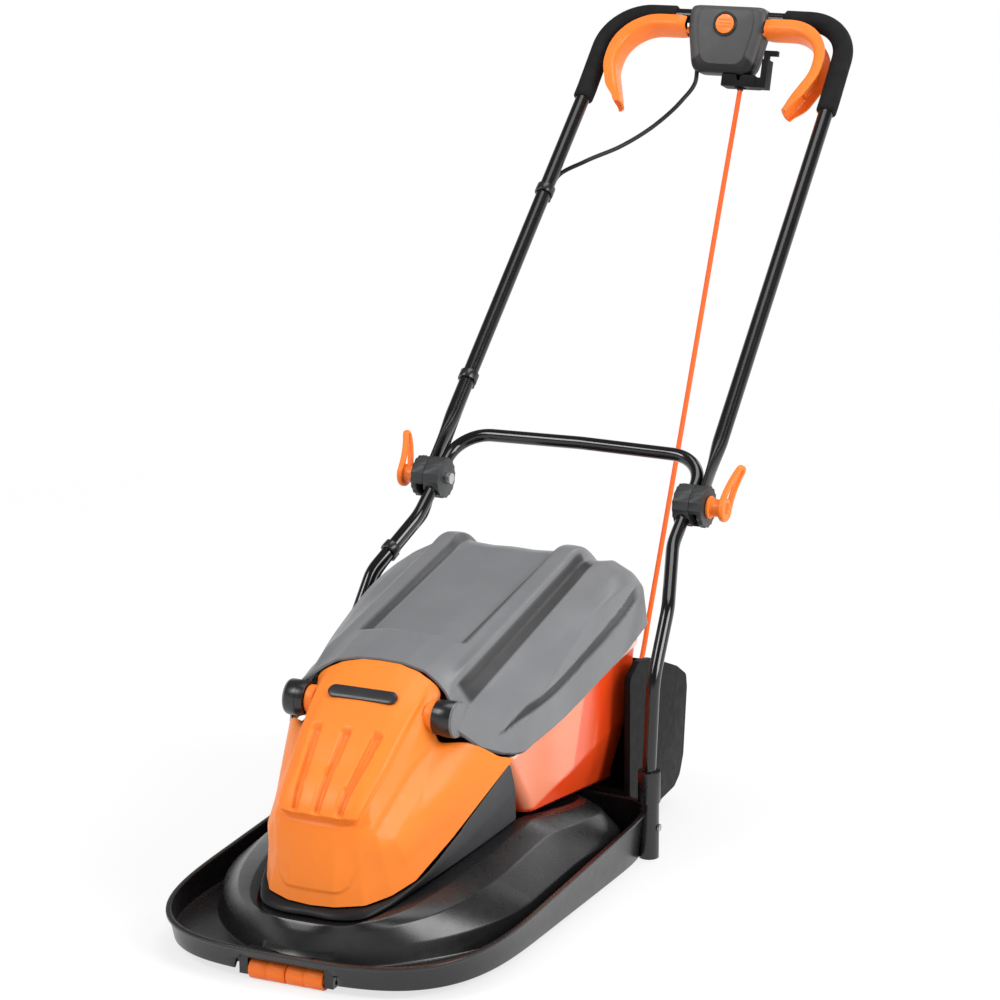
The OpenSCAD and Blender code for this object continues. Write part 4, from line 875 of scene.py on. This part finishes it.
# Chute, sockets and small mouldings: merged copies with rounded edges
softened("grass_chute", "chuteShell", chuteBlack, "root", 5.0, 4)
softened("handle_sockets", "handleSockets", deckBlack, "root", 1.2)
softened("roller_bracket", "rollerBracket", deckBlack, "root", 0.8)
for side in ("left", "right"):
    name = side.title()
    softened("roller_" + side, "rollerHalf" + name, rollerOrange, "roller_" + side, 0.35, 2)
    softened("clamp_" + side, "clampBlock" + name, clampGrey, "root", 0.7, 2)

# Wing knobs: a turned hub with a hollow end, and a bowed teardrop loop that leans with the upper handle
knob = dict(x=205.7, y=86.0, z=395.0, lean=56.0, bigR=14.0, tipR=6.0, reach=51.0, loopX=20.5, bow=9.0,
            halfWide=2.9, halfThick=4.0,
            hub=[(0, 6.0), (0, 14.6), (2.4, 14.6), (4.4, 11.8), (13, 11.0), (19, 13.0), (22.4, 13.4),
                 (24, 12.2), (24, 8.6), (22.6, 7.2), (20.8, 6.4), (20.2, 2.0)])
tangent = math.acos((knob["bigR"] - knob["tipR"]) / knob["reach"])
bigArc = np.linspace(tangent, 2 * math.pi - tangent, 40)
tipArc = np.linspace(-tangent, tangent, 24)
drop = np.concatenate([arc(knob["bigR"], bigArc), arc(knob["tipR"], tipArc) + [knob["reach"], 0]])
drop = evenly(np.concatenate([drop, drop[:1]]), 2.0)[:-1]
leanBy = math.radians(knob["lean"])
alongU = arr([0, math.cos(leanBy), math.sin(leanBy)])
alongV = arr([0, -math.sin(leanBy), math.cos(leanBy)])
bowed = knob["bow"] * (np.maximum(drop[:, :1], 0) / knob["reach"]) ** 2
hubEnd = arr([knob["x"] + knob["loopX"], knob["y"], knob["z"]])
loopLine = hubEnd + drop[:, :1] * alongU + drop[:, 1:] * alongV + bowed * [1, 0, 0]
band = circle(1.0, 16)
band = np.sign(band) * np.abs(band) ** 0.7 * [knob["halfThick"], knob["halfWide"]]
hubRings = [ringAt(knob["x"] + x, r, knob["y"], knob["z"], fullTurn(48)) for x, r in knob["hub"]]
knobMesh = joined(loftMesh(hubRings), loftMesh(sweep(loopLine, [1, 0, 0], band), loop=True))
for side, low, mesh in rightAndLeft(knobMesh):
    node = "clamp_knob_" + low
    piece("wingKnob" + side, mesh, leverOrange, node, [node])
softened("clamp_caps", "clampCaps", clampGrey, "upper_handle", 0.7, 2)
softened("cable_restraint", "cableRestraint", chuteBlack, "upper_handle", 1.4)
softened("lead_clips_upper", "leadClipsUpper", deckBlack, "upper_handle", 0.7, 2)
softened("lead_clips_lower", "leadClipsLower", deckBlack, "root", 0.7, 2)
softened("lock_button", "lockButton", buttonOrange, "lock_button", 0.8)
print("stage: mouldings")

# Tubes: round sections along the handle lines; the lower ends of the upper legs are flattened
tubes = dict(lowR=8.5, upR=10.0, wall=1.2, flat=(4.5, 13.0), flatTo=60.0, roundFrom=120.0, sides=40,
             foamR=14.0, foamGap=0.3, foamEnd=4.0, foamDrop=3.2, foamFrom=19, foamTo=(80, 668, 938))
lowerLeg = rounded([(213, -125, 16), (213, -125, 118), (211, -108, 224), (206, -50, 299), (178.5, 31, 357),
                    (175, 150, 441), (0, 150, 444)], [150, 70, 60, 90, 48], 12)
lowerPath = evenly(np.concatenate([lowerLeg, mirrored(lowerLeg[-2::-1])]), 5.0)


def tubeMesh(path, outerProfile, innerProfile):
    outerRings = sweep(path, [1, 0, 0], outerProfile)
    innerRings = sweep(path, [1, 0, 0], innerProfile)
    return loftMesh(np.concatenate([outerRings, innerRings[::-1]]), loop=True)


sides = tubes["sides"]
lowOuter, lowInner = circle(tubes["lowR"], sides), circle(tubes["lowR"] - tubes["wall"], sides)
piece("lowerTube", tubeMesh(lowerPath, lowOuter, lowInner), glossTube, "root",
      ["lower_handle"])
upperCorners = arr([(192.5, 72.7, 382.9), (180, 575, 841.8), (178, 668, 937.5), (0, 668, 938.5)])
upperHalf = rounded(upperCorners, [100, 62], 14)
upperPath = evenly(np.concatenate([upperHalf, mirrored(upperHalf[-2::-1])]), 5.0)
along = runOf(upperPath)
fromEnd = np.minimum(along, along[-1] - along)
roundness = smooth((fromEnd - tubes["flatTo"]) / (tubes["roundFrom"] - tubes["flatTo"]))[:, None, None]


# Profile of the upper tube at each point, drawn in by a thickness: flat at the ends, round between
def upperProfile(thick):
    flat = circle(1.0, sides)[None] * (arr(tubes["flat"]) - thick)
    return flat * (1 - roundness) + circle(tubes["upR"] - thick, sides)[None] * roundness


piece("upperTube", tubeMesh(upperPath, upperProfile(0), upperProfile(tubes["wall"])), satinTube,
      "upper_handle", ["upper_handle"])

# Foam grips: thick sleeves with rounded ends
upWay = unit(upperCorners[1] - upperCorners[0])
gripLine = np.concatenate([[upperCorners[1] - upWay * tubes["foamFrom"]], upperHalf[1:-1], [tubes["foamTo"]]])
gripPath = evenly(gripLine, 3.0)
gripAlong = runOf(gripPath)
gripEnd = np.minimum(gripAlong, gripAlong[-1] - gripAlong)
endRound = np.sqrt(np.clip(1 - (1 - np.clip(gripEnd / tubes["foamEnd"], 0, 1)) ** 2, 0, 1))
gripR = tubes["foamR"] - tubes["foamDrop"] * (1 - endRound)
gripOuter = sweep(gripPath, [1, 0, 0], circle(1.0, 48), gripR)
gripInner = sweep(gripPath, [1, 0, 0], circle(tubes["upR"] + tubes["foamGap"], 48))
gripMesh = loftMesh(np.concatenate([gripOuter, gripInner[::-1]]), loop=True)
for side, low, mesh in rightAndLeft(gripMesh):
    grip = piece("foamGrip" + side, mesh, foamBlack, "upper_handle", ["grip_" + low], sharp=50)
print("stage: handle")

# Bail levers: a round-backed channel along a bent line in the plane of the handle, ribbed inside
lever = dict(half=18.0, deep=-15.0, crown=3.0, foot=-5.0, wall=2.6, taper=34.0, neck=9.0,
             line=[(59.4, 27), (145, 27), (146, 96), (121, 158)], bends=[50, 60],
             ribs=(0.10, 0.24, 0.38, 0.52, 0.66, 0.80), ribHalf=0.9, ribFoot=-4.0, ribSink=0.8,
             tongue=[(40.5, 26), (62, 26)], tongueShape=[(3, -5), (3, 2.5), (-3, 2.5), (-3, -5)])
handleS = unit([0, -0.69, -0.72])
handleN = arr([0, handleS[2], -handleS[1]])


def inPlane(x, s):
    return barMiddle + arr([x, 0, 0]) + handleS * s


def arch(half, top, foot, count=15):
    a = np.linspace(0, math.pi, count)
    x = half * np.sign(np.cos(a)) * np.abs(np.cos(a)) ** 0.62
    return asPoints(x, foot + (top - foot) * np.sin(a) ** 0.75)


def channelArch(half, top):
    return np.concatenate([[(half, lever["deep"])], arch(half, top, lever["foot"]), [(-half, lever["deep"])]])


innerHalf, innerTop = lever["half"] - lever["wall"], lever["crown"] - lever["wall"]
leverPath = evenly(rounded([inPlane(*p) for p in lever["line"]], lever["bends"], 14), 3.0)
leverAlong = runOf(leverPath)
tipShare = smooth(1 - (leverAlong[-1] - leverAlong) / lever["taper"])
neckShare = smooth(1 - leverAlong / lever["neck"])
wide = (1 - 0.22 * tipShare ** 2) * (1 - 0.14 * neckShare)
flange = 1 - 0.6 * tipShare
leverRing = np.concatenate([channelArch(lever["half"], lever["crown"]),
                            channelArch(innerHalf, innerTop)[::-1]])
leverProfile = leverRing[None].repeat(len(leverPath), 0)
leverProfile[..., 0] *= wide[:, None]
depth = leverProfile[..., 1]
leverProfile[..., 1] = np.where(depth < -1.0, -1 + (depth + 1) * flange[:, None], depth)
leverMeshes = [loftMesh(sweep(leverPath, handleN, leverProfile))]
for share in lever["ribs"]:
    at = int(share * (len(leverPath) - 1))
    way = unit(leverPath[at + 1] - leverPath[at]) * lever["ribHalf"]
    line = np.stack([leverPath[at] - way, leverPath[at] + way])
    shape = arch(innerHalf + lever["ribSink"], innerTop + lever["ribSink"], lever["ribFoot"], 21)
    leverMeshes.append(loftMesh(sweep(line, handleN, shape)))
tongueLine = [inPlane(*p) for p in lever["tongue"]]
leverMeshes.append(loftMesh(sweep(tongueLine, handleN, lever["tongueShape"])))
for side, low, mesh in rightAndLeft(joined(*leverMeshes)):
    node = "bail_lever_" + low
    piece("bailLever" + side, mesh, leverOrange, node, [node], sharp=24)
print("stage: levers")

# Switch box: its face outline stacked from back to front, with a raised panel and a button ring
switchBox = dict(
    half=[(34, -81), (42, -78), (47, -70), (57, -20), (57, 4), (54, 12), (46, 14)], middle=-33.0, cornerR=7.0,
    darkFrom=-64.0,
    rear=[(0.4, 0.8), (0.6, 0.0), (9.5, 0.0), (12.0, 1.0), (13.3, 2.8), (14.0, 6.0)],
    front=[(0.0, 0.8), (-0.2, 0.0), (-11.5, 0.0), (-14.5, 1.0), (-16.6, 3.2), (-18.2, 7.0), (-19.0, 12.0)],
    panel=[(22, -69), (31, -62), (40, -24), (41, 0), (37, 8)], panelR=6.0,
    panelLevels=[(-17.5, -0.6), (-20.4, 0.0), (-21.0, 0.5), (-21.2, 1.6)], buttonZ=-13.0,
    ring=[(13.9, -19.5), (13.9, -22.4), (14.6, -23.0), (16.6, -23.0), (17.5, -22.2), (17.5, -19.5)])


def closedOutline(half, r):
    h = arr(half)
    pts = np.concatenate([h, (h * [-1, 1])[::-1]])
    ring = np.concatenate([pts[-1:], pts, pts[:1]])[None]
    soft = softCorners(np.concatenate([ring, np.zeros(ring.shape[:2] + (1,))], 2), r, 4)[:, 1:-1]
    return densify(np.concatenate([soft, soft[:, :1]], 1), 3.0)[0, :-1, :2]


def stacked(shape, levels):
    centre = arr([0, switchBox["middle"]])
    reach = np.linalg.norm(shape - centre, axis=1, keepdims=True)
    rows = []
    for y, inset in levels:
        q = centre + (shape - centre) * (1 - inset / reach)
        rows.append(inBox(asPoints(q[:, 0], y, q[:, 1])))
    return arr(rows)


face = closedOutline(switchBox["half"], switchBox["cornerR"])
dark = smooth((switchBox["darkFrom"] - face[:, 1]) / 4)
for name, node in (("Front", "switch_box_front"), ("Rear", "switch_box_rear")):
    levels = switchBox[name.lower()]
    toneRows = np.tile(dark, len(levels)) if name == "Front" else np.full(len(levels) * len(dark), 0.6)
    piece("switchBox" + name, loftMesh(stacked(face, levels)), boxGrey, "upper_handle",
          [node], sharp=50, attribute=np.concatenate([toneRows, [0.2, 0.2]]))
panelFace = closedOutline(switchBox["panel"], switchBox["panelR"])
panelRings = stacked(panelFace, switchBox["panelLevels"])
piece("switchPanel", loftMesh(panelRings), boxGrey, "upper_handle", sharp=35,
      attribute=np.zeros(panelRings.shape[0] * panelRings.shape[1] + 2))
rim = circle(1.0, 64)
ringRings = [inBox(asPoints(r * rim[:, 0], y, switchBox["buttonZ"] + r * rim[:, 1]))
             for r, y in switchBox["ring"]]
piece("buttonRing", loftMesh(ringRings, loop=True), leadBlack, "upper_handle")

# Button spring: one wire wound as a helix under the button
spring = dict(r=5.5, wire=0.4, turns=4.0, gap=2.1, y=-10.8, keep=0.58)
wound = np.linspace(0, spring["turns"], 97)
swing = 2 * math.pi * wound
springLine = inBox(asPoints(spring["r"] * np.cos(swing), spring["y"] - spring["gap"] * wound,
                            switchBox["buttonZ"] + spring["r"] * np.sin(swing)))
springMesh = loftMesh(sweep(springLine, -boxBack, circle(spring["wire"], 8)))
springWire = piece("buttonSpring", springMesh, steelMetal, "upper_handle", ["button_spring"])
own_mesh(springWire)
print("stage: switch box")


# One for rays that show the background: straight from the camera, mirrored or through clear plastic
def seenRays(tree):
    rays = addNode(tree, "LightPath").outputs
    seen = combined(tree, "MAXIMUM", rays["Is Camera Ray"], rays["Is Glossy Ray"])
    return combined(tree, "MAXIMUM", seen, rays["Is Transmission Ray"])


# Studio: a white sweep round a room with a dim ceiling, soft lamps and a plain floor that keeps the shadow
studio = dict(worldLevel=0.55, floorHalf=30.0, floorNear=0.72, fadeFrom=0.8, fadeTo=2.4,
              sweepTo=0.10, ceilingFrom=0.40, ceilingLevel=0.16, floorColour=(0.86, 0.86, 0.86, 1))
world = bpy.data.worlds.new("studio")
bpy.context.scene.world = world
world.use_nodes = True
tree = world.node_tree
tree.nodes.clear()
heading = addNode(tree, "TexCoord").outputs["Generated"]
height = addNode(tree, "SeparateXYZ", {0: heading}).outputs["Z"]
ceiling = ranged(tree, height, 1.0, studio["ceilingLevel"], studio["sweepTo"], studio["ceilingFrom"],
                 "SMOOTHSTEP")
level = addNode(tree, "Mix", {"Factor": seenRays(tree), "A": studio["worldLevel"], "B": ceiling})
sky = addNode(tree, "Background", {"Color": (1, 1, 1, 1), "Strength": level.outputs["Result"]})
addNode(tree, "OutputWorld", {"Surface": sky.outputs[0]})

floorData = bpy.data.meshes.new("floor")
h = studio["floorHalf"]
floorData.from_pydata([(-h, -h, 0), (h, -h, 0), (h, h, 0), (-h, h, 0)], [], [(0, 1, 2, 3)])
floor = bpy.data.objects.new("floor", floorData)
bpy.context.scene.collection.objects.link(floor)
floorMaterial = bpy.data.materials.new("floorPaint")
floorMaterial.use_nodes = True
tree = floorMaterial.node_tree
tree.nodes.clear()
paint = addNode(tree, "BsdfDiffuse", {"Color": studio["floorColour"]})
glow = addNode(tree, "Emission", {"Strength": 1.0})
spot = addNode(tree, "TexCoord").outputs["Object"]
reach = addNode(tree, "VectorMath", {0: spot}, operation="LENGTH").outputs["Value"]
fade = ranged(tree, reach, studio["floorNear"], 1.0, studio["fadeFrom"], studio["fadeTo"], "SMOOTHSTEP")
share = combined(tree, "MULTIPLY", fade, seenRays(tree))
blend = addNode(tree, "MixShader", {"Fac": share, 1: paint.outputs[0], 2: glow.outputs[0]})
addNode(tree, "OutputMaterial", {"Surface": blend.outputs[0]})
floorData.materials.append(floorMaterial)

lamps = [("keyLamp", (-2.2, -2.6, 3.6), (0, 0, 0.3), 1.7, 78.0),
         ("rightLamp", (3.0, -0.7, 2.2), (0.1, -0.1, 0.3), 1.8, 84.0),
         ("topLamp", (0.2, 0.6, 4.2), (0, 0, 0.2), 2.2, 52.0),
         ("rearLamp", (1.2, 3.0, 2.1), (0, -0.1, 0.2), 1.5, 18.0)]
for name, place, target, size, power in lamps:
    lampData = bpy.data.lights.new(name, "AREA")
    lampData.shape = "SQUARE"
    lampData.size = size
    lampData.energy = power
    lamp = bpy.data.objects.new(name, lampData)
    aim = Vector(target) - Vector(place)
    lamp.matrix_world = Matrix.Translation(Vector(place)) @ aim.to_track_quat("-Z", "Y").to_matrix().to_4x4()
    bpy.context.scene.collection.objects.link(lamp)
print("stage: studio")

bpy.context.view_layer.update()
print("stage: done")
